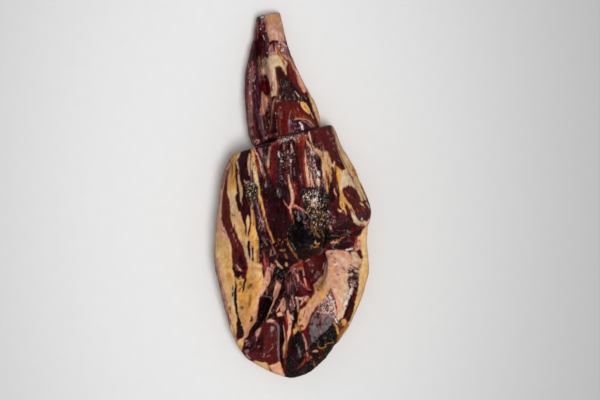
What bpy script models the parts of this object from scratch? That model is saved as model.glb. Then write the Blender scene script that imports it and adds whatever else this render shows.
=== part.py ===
"""Boneless cured ham, lying rind side down: +Z up, +Y towards the shank end.

It is two pieces of meat. The body is opened along the cut where the bones came out, so its upper block ends in a
ledge over the hollow that the thigh bone left. The shank was cut off straight across and lies end to end with it.
The origin is at the centre of the ham's footprint. Every size below is in millimetres.
"""

import math

import bmesh
import bpy
import numpy as np
from mathutils import Vector

MM = 0.001

# The straight cut between the two pieces, seen from above, and the slit left there.
CUT_LEFT = (-91.0, 64.0)
CUT_RIGHT = (59.0, 108.0)
CUT_GAP = 1.2

# The body's outline from above: how far along the ham, then its left and right edges.
BODY_EDGES = (
    (112, -72, 60),
    (98, -80, 67),
    (64, -92, 83),
    (45, -103, 94),
    (8, -111, 109),
    (-20, -114, 120),
    (-40, -117, 119),
    (-56, -118, 115),
    (-84, -119, 115),
    (-103, -120, 117),
    (-140, -112, 112),
    (-177, -103, 99),
    (-214, -92, 79),
    (-241, -79, 57),
    (-251, -70, 48),
    (-261, -51, 37),
    (-271, -33, 23),
    (-280.3, -12, 0),
)
BODY_ROUND_END = 46.0
BODY_RIM = ((110, 33), (0, 37), (-120, 36), (-220, 30), (-280, 24))
BLOCK_CROWN = ((110, 80), (60, 88), (0, 95), (-50, 96), (-110, 89), (-200, 76))
LOW_CROWN = ((0, 57), (-80, 55), (-150, 58), (-200, 60), (-250, 52), (-280, 42))
LEFT_WALL = ((20, 95), (-50, 96), (-90, 90), (-130, 78), (-180, 68), (-240, 54), (-280, 42))
LEFT_WALL_INSIDE, LEFT_WALL_OUTSIDE = -12.0, -58.0

# The ledge, from the right edge inwards, and how wide its front slope is, which flattens out on the left.
LEDGE = (
    (128, -44),
    (114, -51.5),
    (92, -63),
    (72, -70),
    (52, -85),
    (40, -94),
    (22, -103),
    (-3, -115),
    (-15, -117),
    (-30, -108),
    (-52, -92),
    (-84, -70),
)
LEDGE_SLOPE = 6.0
LEDGE_FADE = 34.0
LEDGE_FADE_FROM, LEDGE_FADE_TO = -12.0, -48.0

# The groove along the ledge's foot, which leaves the ledge overhanging.
FOOT_GROOVE = ((60, -85, 63), (42, -98, 59), (22, -108, 57), (4, -116, 57))
FOOT_GROOVE_RADIUS = 7.5

# The flat knife cut on the ledge's right shoulder: a point on it and the way it faces.
SHOULDER_POINT = (84.0, -39.0, 79.0)
SHOULDER_FACING = (0.115, -0.80, 0.588)
SHOULDER_FROM = 56.0
SHOULDER_BLEND = 10.0
ABOVE_ALL = 60.0

# The cut step under the shoulder, down to the pale pad.
STEP_TOP, STEP_FOOT = -66.0, -86.0
STEP_RISE = 10.0
STEP_LEFT, STEP_RIGHT = 50.0, 96.0
STEP_BLEND = 8.0

# Lobes and clefts of the body's upper face: a line from above, half its width, and its rise or depth.
BODY_FORMS = {
    "middle lobe": (((-6, 88), (8, 20), (26, -40), (24, -86)), 24, 5),
    "right lobe": (((50, 98), (68, 40), (86, -38)), 15, 7),
    "left lobe": (((-76, 60), (-70, 0), (-52, -70)), 18, 4),
    "left seam": (((-52, 46), (-54, 10), (-40, -30), (-40, -62), (-26, -96)), 7, -4.5),
    "right seam": (((30, 94), (36, 55), (52, 20), (52, -12), (64, -40)), 9, -5),
    "block hump": (((2, 12), (14, -30)), 30, 3),
    "block dip": (((-14, 66), (-20, 10)), 9, -3),
    "outer seam": (((-96, 30), (-96, -20), (-78, -70), (-60, -118)), 5, -2.5),
    "rind edge right": (((110, -62), (110, -105), (102, -142), (86, -184), (62, -222)), 8, 8),
    "rind inner groove": (((95, -88), (94, -120), (88, -150), (80, -188)), 5, -5),
    "pale pad": (((62, -92), (74, -118), (70, -160)), 17, 7),
    "orange seam": (((55, -106), (46, -146), (30, -178), (16, -212)), 6, 5),
    "seam groove": (((42, -150), (22, -188), (18, -224)), 4, -3),
    "grey dome": (((58, -168), (46, -200), (36, -226)), 20, 7),
    "thigh socket": (((36, -108), (37, -124)), 19, -16),
    "fan root": (((0, -112), (6, -124)), 10, 8),
    "fan strand inner": (((6, -126), (16, -140), (28, -150)), 4, 4),
    "fan strand outer": (((12, -120), (28, -136), (44, -152)), 4, 5),
    "dark cleft": (((-12, -120), (-28, -149), (-45, -180), (-65, -213)), 8, -19),
    "cleft lip": (((-17, -130), (-26, -152), (-40, -184)), 4, 7),
    "meat strip": (((-6, -138), (-18, -165), (-34, -190)), 7, 4),
    "left pad": (((-46, -118), (-52, -150), (-62, -186)), 15, 6),
    "outer pad seam": (((-64, -118), (-80, -158), (-84, -206)), 4, -4),
    "butt seam": (((-17, -196), (-14, -238), (-9, -278)), 4, -9),
    "butt face left": (((-48, -214), (-36, -242)), 22, -5),
    "butt lobe": (((8, -232), (4, -262)), 13, 4),
}

# The hollow that runs on under the ledge: its middle and its half sizes.
HOLLOW_MIDDLE = (35.0, -103.0, 52.0)
HOLLOW_HALF = (19.0, 37.0, 17.0)
HOLLOW_TURN = math.radians(6)

# The shank's outline from above.
SHANK_EDGES = (
    (292, -52, -20),
    (268, -55, -16.5),
    (258, -58, -14.5),
    (248, -59.5, -12),
    (239, -60, -9.5),
    (230, -63, -6.5),
    (211, -68, 0),
    (193, -72, 8),
    (174, -73.5, 18),
    (156, -73.5, 28),
    (128, -72.5, 38),
    (110, -69.5, 44),
    (91, -66, 49),
    (76, -60, 51),
    (58, -56, 52),
)
SHANK_RIM = ((292, 15), (200, 19), (120, 26), (60, 27))
SHANK_LOWEST_TOP = 0.75
SHANK_CROWN = ((292, 34), (240, 40), (190, 50), (120, 66), (60, 68))
SHANK_FORMS = {
    "side muscle": (((-55, 232), (-59, 200), (-60, 150), (-56, 108), (-48, 72)), 11, 7),
    "long groove": (((-50, 242), (-45, 205), (-41, 165), (-36, 120), (-30, 72)), 5.5, -27),
    "tendon strip": (((-51, 274), (-49, 250)), 5, 5),
    "stump shoulder": (((-38, 243), (-20, 240)), 6, -3),
    "front muscle": (((-20, 190), (-12, 140), (-6, 76)), 15, 4),
    "outer fat edge": (((-8, 214), (14, 168), (38, 110), (44, 82)), 6, -4),
}
# The sawn end of the stump: a point on it and the way it faces.
STUMP_POINT = (-17.0, 280.3)
STUMP_FACING = (-0.22, 0.975)

# How square each piece is across, and how round at its end: higher powers are squarer.
BODY_SQUARENESS = 2.8
SHANK_SQUARENESS = 2.1
END_SQUARENESS = 2.2
LOW_SQUARENESS = 0.6
UNDERSIDE_ROUNDNESS = 1.3

# The underside is planed flat where it would reach this far below the floor.
BASE_SINK = 1.0
BASE_FROM = 0.93
FLOOR_SLAB = (0.5, 0.8, 0.05)

# How fine the shaped sheets are before thinning, what counts as one point, and how many triangles stay.
SPACING = 2.5
MERGE = 0.02
BODY_TRIANGLES = 6600
SHANK_TRIANGLES = 2600

MATERIALS = {
    "ham_body": ((0.20, 0.035, 0.025), 0.38),
    "shank": ((0.22, 0.045, 0.03), 0.35),
}


def smooth_step(start, end, value):
    """0 before start, 1 after end, and an S-shaped rise between them."""
    share = np.clip((value - start) / (end - start), 0.0, 1.0)
    return share * share * (3.0 - 2.0 * share)


def along(stations, place, column=1):
    """A smooth curve through the stations' values in one column, read at each place."""
    rows = sorted(stations)
    at = np.array([row[0] for row in rows], float)
    value = np.array([row[column] for row in rows], float)
    slope = np.gradient(value, at)
    index = np.clip(np.searchsorted(at, place) - 1, 0, len(at) - 2)
    gap = at[index + 1] - at[index]
    t = np.clip((place - at[index]) / gap, 0.0, 1.0)
    return (
        (2 * t**3 - 3 * t**2 + 1) * value[index]
        + (t**3 - 2 * t**2 + t) * gap * slope[index]
        + (3 * t**2 - 2 * t**3) * value[index + 1]
        + (t**3 - t**2) * gap * slope[index + 1]
    )


def distance_to_line(points, x, y):
    """How far each (x, y) is from the line, and on which side: positive on the left of the way it runs."""
    nearest = np.full(x.shape, np.inf)
    side = np.ones(x.shape)
    for (ax, ay), (bx, by) in zip(points, points[1:]):
        dx, dy = bx - ax, by - ay
        share = np.clip(((x - ax) * dx + (y - ay) * dy) / (dx * dx + dy * dy), 0.0, 1.0)
        off_x, off_y = x - ax - share * dx, y - ay - share * dy
        distance = np.hypot(off_x, off_y)
        closer = distance < nearest
        nearest = np.where(closer, distance, nearest)
        side = np.where(closer, np.sign(dx * off_y - dy * off_x), side)
    return nearest, side


def forms(table, x, y):
    """The summed rise of a table's lobes and clefts."""
    rise = np.zeros(x.shape)
    for points, half_width, height in table.values():
        distance, _ = distance_to_line(points, x, y)
        rise += height * np.exp(-((distance / half_width) ** 2))
    return rise


def dome(across, end_share, squareness):
    """0 at the outline and 1 over the middle, with round edges."""
    lateral = np.clip(1.0 - np.abs(across) ** squareness, 0.0, 1.0)
    lengthwise = np.clip(1.0 - end_share**END_SQUARENESS, 0.0, 1.0)
    return np.sqrt(lateral * lengthwise)


def underside(full, rim):
    """The rind side: round under the edges, and flat where the piece rests."""
    return rim * (1.0 - np.clip(full / BASE_FROM, 0.0, 1.0)) ** UNDERSIDE_ROUNDNESS - BASE_SINK


def body_heights(x, y, across):
    """The body's upper and lower faces."""
    end_share = np.clip((BODY_EDGES[-1][0] + BODY_ROUND_END - y) / BODY_ROUND_END, 0.0, 1.0)
    full = dome(across, end_share, BODY_SQUARENESS)
    rim = along(BODY_RIM, y)
    block = rim + (along(BLOCK_CROWN, y) - rim) * full
    low = rim + (along(LOW_CROWN, y) - rim) * full**LOW_SQUARENESS
    wall = rim + (along(LEFT_WALL, y) - rim) * full
    low += (wall - low) * smooth_step(LEFT_WALL_INSIDE, LEFT_WALL_OUTSIDE, x)
    step = smooth_step(STEP_FOOT, STEP_TOP, y) * smooth_step(STEP_LEFT, STEP_LEFT + STEP_BLEND, x)
    low += STEP_RISE * step * (1.0 - smooth_step(STEP_RIGHT, STEP_RIGHT + STEP_BLEND, x))
    distance, side = distance_to_line(LEDGE, x, y)
    slope = LEDGE_SLOPE + LEDGE_FADE * smooth_step(LEDGE_FADE_FROM, LEDGE_FADE_TO, x)
    on_block = smooth_step(-slope, slope * 0.2, -distance * side)
    px, py, pz = SHOULDER_POINT
    nx, ny, nz = SHOULDER_FACING
    knife_cut = pz - (nx * (x - px) + ny * (y - py)) / nz
    knife_cut += ABOVE_ALL * (1.0 - smooth_step(SHOULDER_FROM - SHOULDER_BLEND, SHOULDER_FROM, x))
    rise = forms(BODY_FORMS, x, y) * smooth_step(0.0, 0.5, full)
    block_top = np.maximum(np.minimum(block + rise, knife_cut), low + rise)
    top = low + rise + (block_top - low - rise) * on_block
    return np.maximum(top, rim), underside(full, rim), full, rim


def shank_heights(x, y, across):
    """The shank's upper and lower faces."""
    full = dome(across, np.zeros(x.shape), SHANK_SQUARENESS)
    rim = along(SHANK_RIM, y)
    top = rim + (along(SHANK_CROWN, y) - rim) * full
    top += forms(SHANK_FORMS, x, y) * smooth_step(0.0, 0.7, full)
    return np.maximum(top, rim * SHANK_LOWEST_TOP), underside(full, rim), full, rim


def sheet(bm, edges, heights, upper):
    """One face of a piece, upper or lower: a grid laid into the outline and raised to its heights."""
    first, last = edges[0][0], edges[-1][0]
    width = max(right - left for _, left, right in edges)
    columns = round(width / SPACING)
    rows = round((first - last) / SPACING)
    made = bmesh.ops.create_grid(bm, x_segments=columns, y_segments=rows, size=1.0)["verts"]
    flat = np.array([v.co[:2] for v in made])
    across = 0.55 * flat[:, 0] + 0.45 * np.sin(flat[:, 0] * math.pi / 2)
    lengthwise = np.sin((1.0 - flat[:, 1]) * math.pi / 4) ** 0.9
    y = first + (last - first) * lengthwise
    left, right = along(edges, y, 1), along(edges, y, 2)
    x = (left + right) / 2 + (right - left) / 2 * across
    top, bottom, full, rim = heights(x, y, across)
    z = np.where(full < 1e-4, rim, top if upper else bottom)
    for vertex, point in zip(made, np.column_stack((x, y, z))):
        vertex.co = Vector(point) * MM
    if not upper:
        faces = {face for vertex in made for face in vertex.link_faces}
        bmesh.ops.reverse_faces(bm, faces=list(faces))


def slice_off(bm, point, facing):
    """Cuts away what lies beyond an upright plane and closes the cut with a flat face."""
    bmesh.ops.bisect_plane(
        bm,
        geom=bm.verts[:] + bm.edges[:] + bm.faces[:],
        plane_co=(point[0] * MM, point[1] * MM, 0.0),
        plane_no=(facing[0], facing[1], 0.0),
        clear_outer=True,
        dist=1e-7,
    )
    rim = [edge for edge in bm.edges if edge.is_boundary]
    bmesh.ops.holes_fill(bm, edges=rim, sides=0)


def cross_cut(towards_shank):
    """A point on one side of the slit and the way that side faces."""
    run = Vector(CUT_RIGHT) - Vector(CUT_LEFT)
    facing = Vector((-run.y, run.x)).normalized() * (1 if towards_shank else -1)
    return Vector(CUT_LEFT) - facing * CUT_GAP / 2, facing


def finish(name, bm, triangles, cutters):
    """Makes the object, with its hollows cut, its triangles thinned and its underside planed flat."""
    bmesh.ops.remove_doubles(bm, verts=bm.verts, dist=MERGE * MM)
    bmesh.ops.recalc_face_normals(bm, faces=bm.faces)
    mesh = bpy.data.meshes.new(name)
    bm.to_mesh(mesh)
    bm.free()
    piece = bpy.data.objects.new(name, mesh)
    bpy.context.scene.collection.objects.link(piece)
    mesh.shade_smooth()
    mesh.materials.append(material(name))
    for cutter in cutters:
        subtract(piece, cutter)
    thin = piece.modifiers.new("thin", "DECIMATE")
    triangles_now = 2 * len(mesh.polygons)
    thin.ratio = triangles / triangles_now
    thin.use_collapse_triangulate = True
    subtract(piece, floor_cutter())
    return piece


def subtract(piece, cutter):
    cut = piece.modifiers.new("cut " + cutter.name, "BOOLEAN")
    cut.operation = "DIFFERENCE"
    cut.solver = "EXACT"
    cut.object = cutter


def helper(name, bm):
    """An object that only cuts, and isn't part of the ham."""
    mesh = bpy.data.meshes.new(name)
    bm.to_mesh(mesh)
    bm.free()
    cutter = bpy.data.objects.new(name, mesh)
    bpy.context.scene.collection.objects.link(cutter)
    cutter.hide_render = True
    cutter.display_type = "WIRE"
    return cutter


def floor_cutter():
    """A slab under the floor level, which planes an underside flat."""
    if "floor_cutter" in bpy.data.objects:
        return bpy.data.objects["floor_cutter"]
    bm = bmesh.new()
    bmesh.ops.create_cube(bm, size=1.0)
    bmesh.ops.scale(bm, vec=FLOOR_SLAB, verts=bm.verts)
    bmesh.ops.translate(bm, vec=(0.0, 0.0, -FLOOR_SLAB[2] / 2), verts=bm.verts)
    return helper("floor_cutter", bm)


def hollow_cutter():
    """The egg-shaped hollow that the thigh bone left, running in under the ledge."""
    bm = bmesh.new()
    bmesh.ops.create_icosphere(bm, subdivisions=3, radius=1.0)
    bmesh.ops.scale(bm, vec=Vector(HOLLOW_HALF) * MM, verts=bm.verts)
    cutter = helper("thigh_bone_hollow", bm)
    cutter.location = Vector(HOLLOW_MIDDLE) * MM
    cutter.rotation_euler = (0.0, 0.0, HOLLOW_TURN)
    return cutter


def foot_groove_cutter():
    """A bent rod along the ledge's foot."""
    curve = bpy.data.curves.new("foot_groove", "CURVE")
    curve.dimensions = "3D"
    curve.bevel_depth = FOOT_GROOVE_RADIUS * MM
    curve.bevel_resolution = 3
    curve.resolution_u = 6
    curve.use_fill_caps = True
    spline = curve.splines.new("BEZIER")
    spline.bezier_points.add(len(FOOT_GROOVE) - 1)
    for handle, place in zip(spline.bezier_points, FOOT_GROOVE):
        handle.co = Vector(place) * MM
        handle.handle_left_type = handle.handle_right_type = "AUTO"
    rod = bpy.data.objects.new("foot_groove_path", curve)
    bpy.context.scene.collection.objects.link(rod)
    bpy.context.view_layer.update()
    bm = bmesh.new()
    bm.from_mesh(bpy.data.meshes.new_from_object(rod))
    bpy.data.objects.remove(rod)
    bmesh.ops.remove_doubles(bm, verts=bm.verts, dist=MERGE * MM)
    bmesh.ops.recalc_face_normals(bm, faces=bm.faces)
    return helper("foot_groove", bm)


def material(name):
    """A plain glossy meat colour for one piece."""
    colour, roughness = MATERIALS[name]
    made = bpy.data.materials.new(name)
    made.use_nodes = True
    shader = made.node_tree.nodes["Principled BSDF"]
    shader.inputs["Base Color"].default_value = (*colour, 1.0)
    shader.inputs["Roughness"].default_value = roughness
    shader.inputs["Metallic"].default_value = 0.0
    return made


def build_body():
    bm = bmesh.new()
    for upper in (True, False):
        sheet(bm, BODY_EDGES, body_heights, upper)
    bmesh.ops.remove_doubles(bm, verts=bm.verts, dist=MERGE * MM)
    slice_off(bm, *cross_cut(towards_shank=True))
    return finish("ham_body", bm, BODY_TRIANGLES, [hollow_cutter(), foot_groove_cutter()])


def build_shank():
    bm = bmesh.new()
    for upper in (True, False):
        sheet(bm, SHANK_EDGES, shank_heights, upper)
    bmesh.ops.remove_doubles(bm, verts=bm.verts, dist=MERGE * MM)
    slice_off(bm, *cross_cut(towards_shank=False))
    slice_off(bm, STUMP_POINT, STUMP_FACING)
    return finish("shank", bm, SHANK_TRIANGLES, [])


def main():
    for obj in list(bpy.data.objects):
        bpy.data.objects.remove(obj)
    build_body()
    build_shank()


main()
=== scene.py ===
"""Looks of a boned, cured ham: two cut pieces of meat with their fat, crust and rind, on a pale floor.

The photograph looks straight down on the ham. So each streak, seam and patch below is placed where it shows
there, in pixels of the 600 x 400 frame, and is laid onto the meat that lies under that place.
"""

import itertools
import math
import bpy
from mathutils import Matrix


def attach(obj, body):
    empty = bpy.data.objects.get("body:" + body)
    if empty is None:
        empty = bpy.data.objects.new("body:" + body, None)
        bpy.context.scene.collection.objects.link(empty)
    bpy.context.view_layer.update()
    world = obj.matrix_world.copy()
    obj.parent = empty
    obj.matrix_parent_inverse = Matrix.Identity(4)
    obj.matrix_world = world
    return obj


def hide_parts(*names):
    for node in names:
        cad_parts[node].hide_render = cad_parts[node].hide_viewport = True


bl_info = {
    "name": "Boned cured ham",
    "version": (1, 0, 0),
    "blender": (4, 5, 0),
    "location": "3D View > Sidebar > Ham",
    "description": "Dresses the two solids of a boned ham in meat, fat, crust and rind, and lights them",
    "category": "Object",
}

import zlib
from collections import namedtuple

import bmesh
import bpy
import numpy as np
from mathutils import Vector

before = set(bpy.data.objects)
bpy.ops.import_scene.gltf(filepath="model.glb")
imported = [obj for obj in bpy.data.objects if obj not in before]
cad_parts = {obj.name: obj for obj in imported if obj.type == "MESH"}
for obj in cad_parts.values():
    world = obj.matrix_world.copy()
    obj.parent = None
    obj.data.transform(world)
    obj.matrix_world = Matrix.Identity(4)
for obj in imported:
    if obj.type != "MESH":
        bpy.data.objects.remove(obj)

MM = 0.001

# The photograph's frame: its middle, the pixel over the ham's origin, and the size of a pixel on the
# ham's outline.
FRAME_WIDE, FRAME_TALL = 600.0, 400.0
ORIGIN_PIXEL = (292.0, 195.4)
PIXEL = 1.54 * MM
OUTLINE_HEIGHT = 30.0 * MM

# The camera hangs over the middle of the frame, and the lamps around it point at the ham. All places are
# in metres.
CAMERA_HEIGHT = 6.45
SENSOR = 36.0
FAR_CLIP = 40.0
VIEW_CENTRE = Vector((FRAME_WIDE / 2 - ORIGIN_PIXEL[0], ORIGIN_PIXEL[1] - FRAME_TALL / 2)) * PIXEL
KEY_PLACE = Vector((0.60, -0.50, 3.0))
GLINT_PLACES = (Vector((1.3, 0.3, 2.0)), Vector((-0.9, 1.0, 2.2)), Vector((0.4, -1.4, 2.0)))
GLINT_SIZE = 0.3

# Where the slit between the two pieces runs, seen from above, in metres.
SLIT_LEFT = Vector((-91.0, 64.0)) * MM
SLIT_RIGHT = Vector((59.0, 108.0)) * MM
SLIT_RUN = (SLIT_RIGHT - SLIT_LEFT).normalized()

# The pixel that the grain fans out from, and how far it draws out the ends of the marks, in pixels: in
# the shank, in the block above the ledge, and below the ledge.
Grain = namedtuple("Grain", "fan feather")
SHANK_GRAIN = Grain((262.0, -160.0), 0.9)
BLOCK_GRAIN = Grain((292.0, -140.0), 1.8)
LOWER_GRAIN = Grain((288.0, 228.0), 0.6)
LEDGE_PIXELS = ((214, 250), (247, 262), (285, 271), (303, 263), (333, 246), (350, 238), (374, 226))

# Random patterns are laid over each other in layers: how much each counts, its name, and how large its
# blobs are. In the paint that size is in pixels, or in pixels across the grain, along it and upwards.
Layer = namedtuple("Layer", "weight name size")
GRAIN_WAVES = (Layer(3.0, "wavy grain", 17.0), Layer(1.2, "wavy grain fine", 6.0))
RAGGED_ENDS = (Layer(0.6, "feather", (0.8, 11.0, 3.0)), Layer(0.4, "ragged", (2.2, 16.0, 5.0)))
STRANDS = (
    Layer(0.40, "strands", (1.0, 8.0, 2.5)),
    Layer(0.35, "bundles", (2.6, 16.0, 5.0)),
    Layer(0.25, "fibres", (0.7, 3.0, 1.5)),
)
BLOTCHES = (Layer(0.55, "blotches", 3.2), Layer(0.45, "small blotches", 1.4))
PATCHES = (Layer(0.30, "patches", 9.0),)
SOFTNESS = (Layer(1.5, "softness", 8.0),)
FRINGES = (Layer(1.0, "fringe", 6.0),)

# The relief: the weights are millimetres. Bumps, dents and the crust's scales are measured in metres, and
# strands in pixels across the grain, along it and upwards.
SWELL = (Layer(2.2, "swell", 26 * MM), Layer(1.3, "dents", 9 * MM))
STRAND_RELIEF = (Layer(1.1, "strand relief", (2.2, 11.0, 4.0)), Layer(0.5, "fibre relief", (1.0, 5.0, 2.0)))
CRUST_RELIEF = (Layer(1.3, "crust relief", 2.6 * MM),)
RIM_WAVES = (Layer(1.4, "rim edge", 11 * MM),)

# How far all of the skin is set back, in millimetres, so that fat stands out as far as lean sinks in.
MEAT_SINK = 0.2


def tone(name, description, red, green, blue):
    """A colour that the user can change, given as a screen colour from 0 to 255."""
    return bpy.props.FloatVectorProperty(
        name=name,
        description=description,
        default=(red / 255, green / 255, blue / 255),
        subtype="COLOR_GAMMA",
        size=3,
        min=0.0,
        max=1.0,
    )


class HamColours(bpy.types.PropertyGroup):
    """The colours of the ham's lean, fat, crust and rind."""

    # Wine is the darkest lean, and it also serves as painted shade between the muscles, in gaps and grooves,
    # and on cut faces turned from the light.
    wine: tone("Wine lean", "Darkest lean meat, between the muscles", 50, 14, 20)
    garnet: tone("Garnet lean", "Deep red lean meat", 108, 16, 18)
    maroon: tone("Maroon lean", "Smooth red-brown face of a knife cut", 90, 27, 24)
    # Lit garnet is garnet lean painted brighter where light falls on it: painted light.
    lit_garnet: tone("Ruby lean", "Bright wet red lean meat", 138, 26, 26)
    violet: tone("Violet lean", "Dark purple lean meat", 68, 24, 36)
    brown: tone("Brown lean", "Dried brown lean meat", 64, 31, 28)
    plum: tone("Plum lean", "Purple-grey lean meat", 84, 50, 56)
    # Mauve is a pale pink bloom on the lean; along the side muscle it stands for painted sheen.
    mauve: tone("Mauve bloom", "Pale pink bloom on lean meat", 158, 108, 104)
    rose: tone("Rose tissue", "Bright pink-red tissue", 176, 80, 72)
    flame: tone("Flame streak", "Orange-red streak in the lean", 172, 66, 36)
    rust: tone("Rust seam", "Brown-orange seam beside fat", 138, 62, 30)
    peach: tone("Peach fat", "Pink-orange fat", 228, 172, 142)
    blush: tone("Blush fat", "Pale pink fat", 228, 180, 164)
    cream: tone("Cream fat", "Pale cream fat", 224, 200, 168)
    beige: tone("Beige fat", "Dull beige fat", 210, 180, 144)
    straw: tone("Straw fat", "Pale yellow fat", 230, 188, 132)
    # Lit fat is straw fat painted paler on the steep rims, where they show lit: painted light.
    lit_fat: tone("Honey fat", "Warm pale yellow fat of the right side", 246, 202, 138)
    amber: tone("Amber fat", "Yellow-orange cured fat", 222, 166, 94)
    gold: tone("Gold fat", "Bright yellow cured fat", 238, 176, 76)
    ochre: tone("Ochre fat", "Brown-yellow old fat", 172, 114, 50)
    olive: tone("Olive crust", "Grey-olive dried crust", 104, 88, 62)
    clay: tone("Clay fat", "Dull pink-brown fat along the left side", 200, 148, 124)
    tan: tone("Tan rind", "Tan rind of the stump", 192, 142, 104)
    rind: tone("Rind", "Cured rind of the underside", 200, 148, 90)
    crust: tone("Crust", "Black-brown dried crust", 34, 24, 22)
    # Cleft black is painted shade in the clefts, grooves, slits and holes between the muscles; charred crust
    # takes it as its own colour.
    black: tone("Cleft", "Depths between the muscles", 16, 5, 8)
    # Silver is grey silver skin and white is salt; both also serve as painted glints where the wet meat
    # catches the light.
    silver: tone("Silver skin", "Grey silver skin", 138, 128, 128)
    white: tone("White salt", "White flecks and glints", 232, 228, 222)


class HamSizes(bpy.types.PropertyGroup):
    """How finely the two pieces are meshed, and how deep their relief is."""

    body_voxel: bpy.props.FloatProperty(
        name="Body mesh",
        description="Size of the body's mesh cells",
        default=2.6 * MM,
        subtype="DISTANCE",
    )
    shank_voxel: bpy.props.FloatProperty(
        name="Shank mesh",
        description="Size of the shank's mesh cells",
        default=1.6 * MM,
        subtype="DISTANCE",
    )
    relief: bpy.props.FloatProperty(
        name="Relief",
        description="How strongly fat, crust and fibres stand out of the meat",
        default=1.0,
        min=0.0,
    )


class StageSizes(bpy.types.PropertyGroup):
    """The studio's camera, floor and lamps."""

    floor: tone("Floor", "Pale studio floor", 236, 236, 236)
    floor_size: bpy.props.FloatProperty(
        name="Floor size", description="Length of the floor's sides", default=9.0, subtype="DISTANCE"
    )
    key: bpy.props.FloatProperty(
        name="Key light", description="Strength of the light from above", default=0.60, min=0.0
    )
    key_softness: bpy.props.FloatProperty(
        name="Key softness", description="How wide the key light looks, in degrees", default=20.0, min=0.0
    )
    glints: bpy.props.FloatProperty(
        name="Glint lamps",
        description="Power of each small lamp that shows in wet meat",
        default=4.0,
        unit="POWER",
    )
    fill: bpy.props.FloatProperty(
        name="Fill", description="Strength of the light that comes from all round", default=0.42, min=0.0
    )


# How each finish looks beside its colour: what its dark streaks are multiplied by, its roughness, how
# proud of the meat it stands in millimetres, how crusty it is, and how fibrous.
Finish = namedtuple("Finish", "shade roughness rise crust fibre")
LEAN = (0.62, 0.48, 0.54)
FINISHES = {
    "wine": Finish(LEAN, 0.22, 0.0, 0.0, 0.8),
    "garnet": Finish(LEAN, 0.22, 0.1, 0.0, 0.9),
    "maroon": Finish((0.82, 0.76, 0.80), 0.22, 0.1, 0.0, 0.4),
    "lit_garnet": Finish(LEAN, 0.22, 0.1, 0.0, 0.8),
    "violet": Finish((0.74, 0.62, 0.70), 0.22, 0.1, 0.0, 0.6),
    "brown": Finish((0.70, 0.60, 0.62), 0.26, 0.1, 0.25, 0.6),
    "plum": Finish((0.70, 0.60, 0.66), 0.24, 0.1, 0.15, 0.6),
    "mauve": Finish((0.78, 0.66, 0.68), 0.24, 0.2, 0.0, 0.7),
    "rose": Finish((0.72, 0.48, 0.50), 0.24, 0.3, 0.0, 0.8),
    "flame": Finish((0.70, 0.48, 0.44), 0.24, 0.2, 0.0, 0.8),
    "rust": Finish((0.70, 0.56, 0.50), 0.26, 0.2, 0.0, 0.7),
    "peach": Finish((0.92, 0.84, 0.78), 0.32, 0.5, 0.0, 0.25),
    "blush": Finish((0.92, 0.82, 0.80), 0.34, 0.5, 0.0, 0.25),
    "cream": Finish((0.90, 0.84, 0.78), 0.32, 0.5, 0.0, 0.3),
    "beige": Finish((0.88, 0.80, 0.70), 0.34, 0.5, 0.0, 0.3),
    "straw": Finish((0.92, 0.86, 0.76), 0.32, 0.5, 0.0, 0.25),
    "lit_fat": Finish((0.90, 0.86, 0.78), 0.30, 0.5, 0.0, 0.3),
    "amber": Finish((0.88, 0.80, 0.66), 0.32, 0.6, 0.0, 0.3),
    "gold": Finish((0.88, 0.76, 0.56), 0.28, 0.7, 0.0, 0.3),
    "ochre": Finish((0.76, 0.66, 0.58), 0.30, 0.4, 0.1, 0.5),
    "olive": Finish((0.58, 0.56, 0.52), 0.28, 0.3, 0.8, 0.4),
    "clay": Finish((0.90, 0.84, 0.80), 0.34, 0.4, 0.0, 0.3),
    "tan": Finish((0.92, 0.88, 0.84), 0.42, 0.2, 0.0, 0.2),
    "rind": Finish((0.78, 0.68, 0.58), 0.40, 0.1, 0.1, 0.1),
    "crust": Finish((0.60, 0.52, 0.50), 0.24, 0.1, 1.0, 0.5),
    "black": Finish((0.60, 0.50, 0.50), 0.30, -0.9, 0.1, 0.4),
    "silver": Finish((0.72, 0.68, 0.68), 0.22, 0.2, 0.4, 0.5),
    "white": Finish((0.92, 0.88, 0.86), 0.26, 0.4, 0.1, 0.2),
}

# Fat runs into the lean in a red-orange line.
FATS = ("peach", "blush", "cream", "beige", "straw", "lit_fat", "amber", "gold")
FRINGE = "flame"

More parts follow.
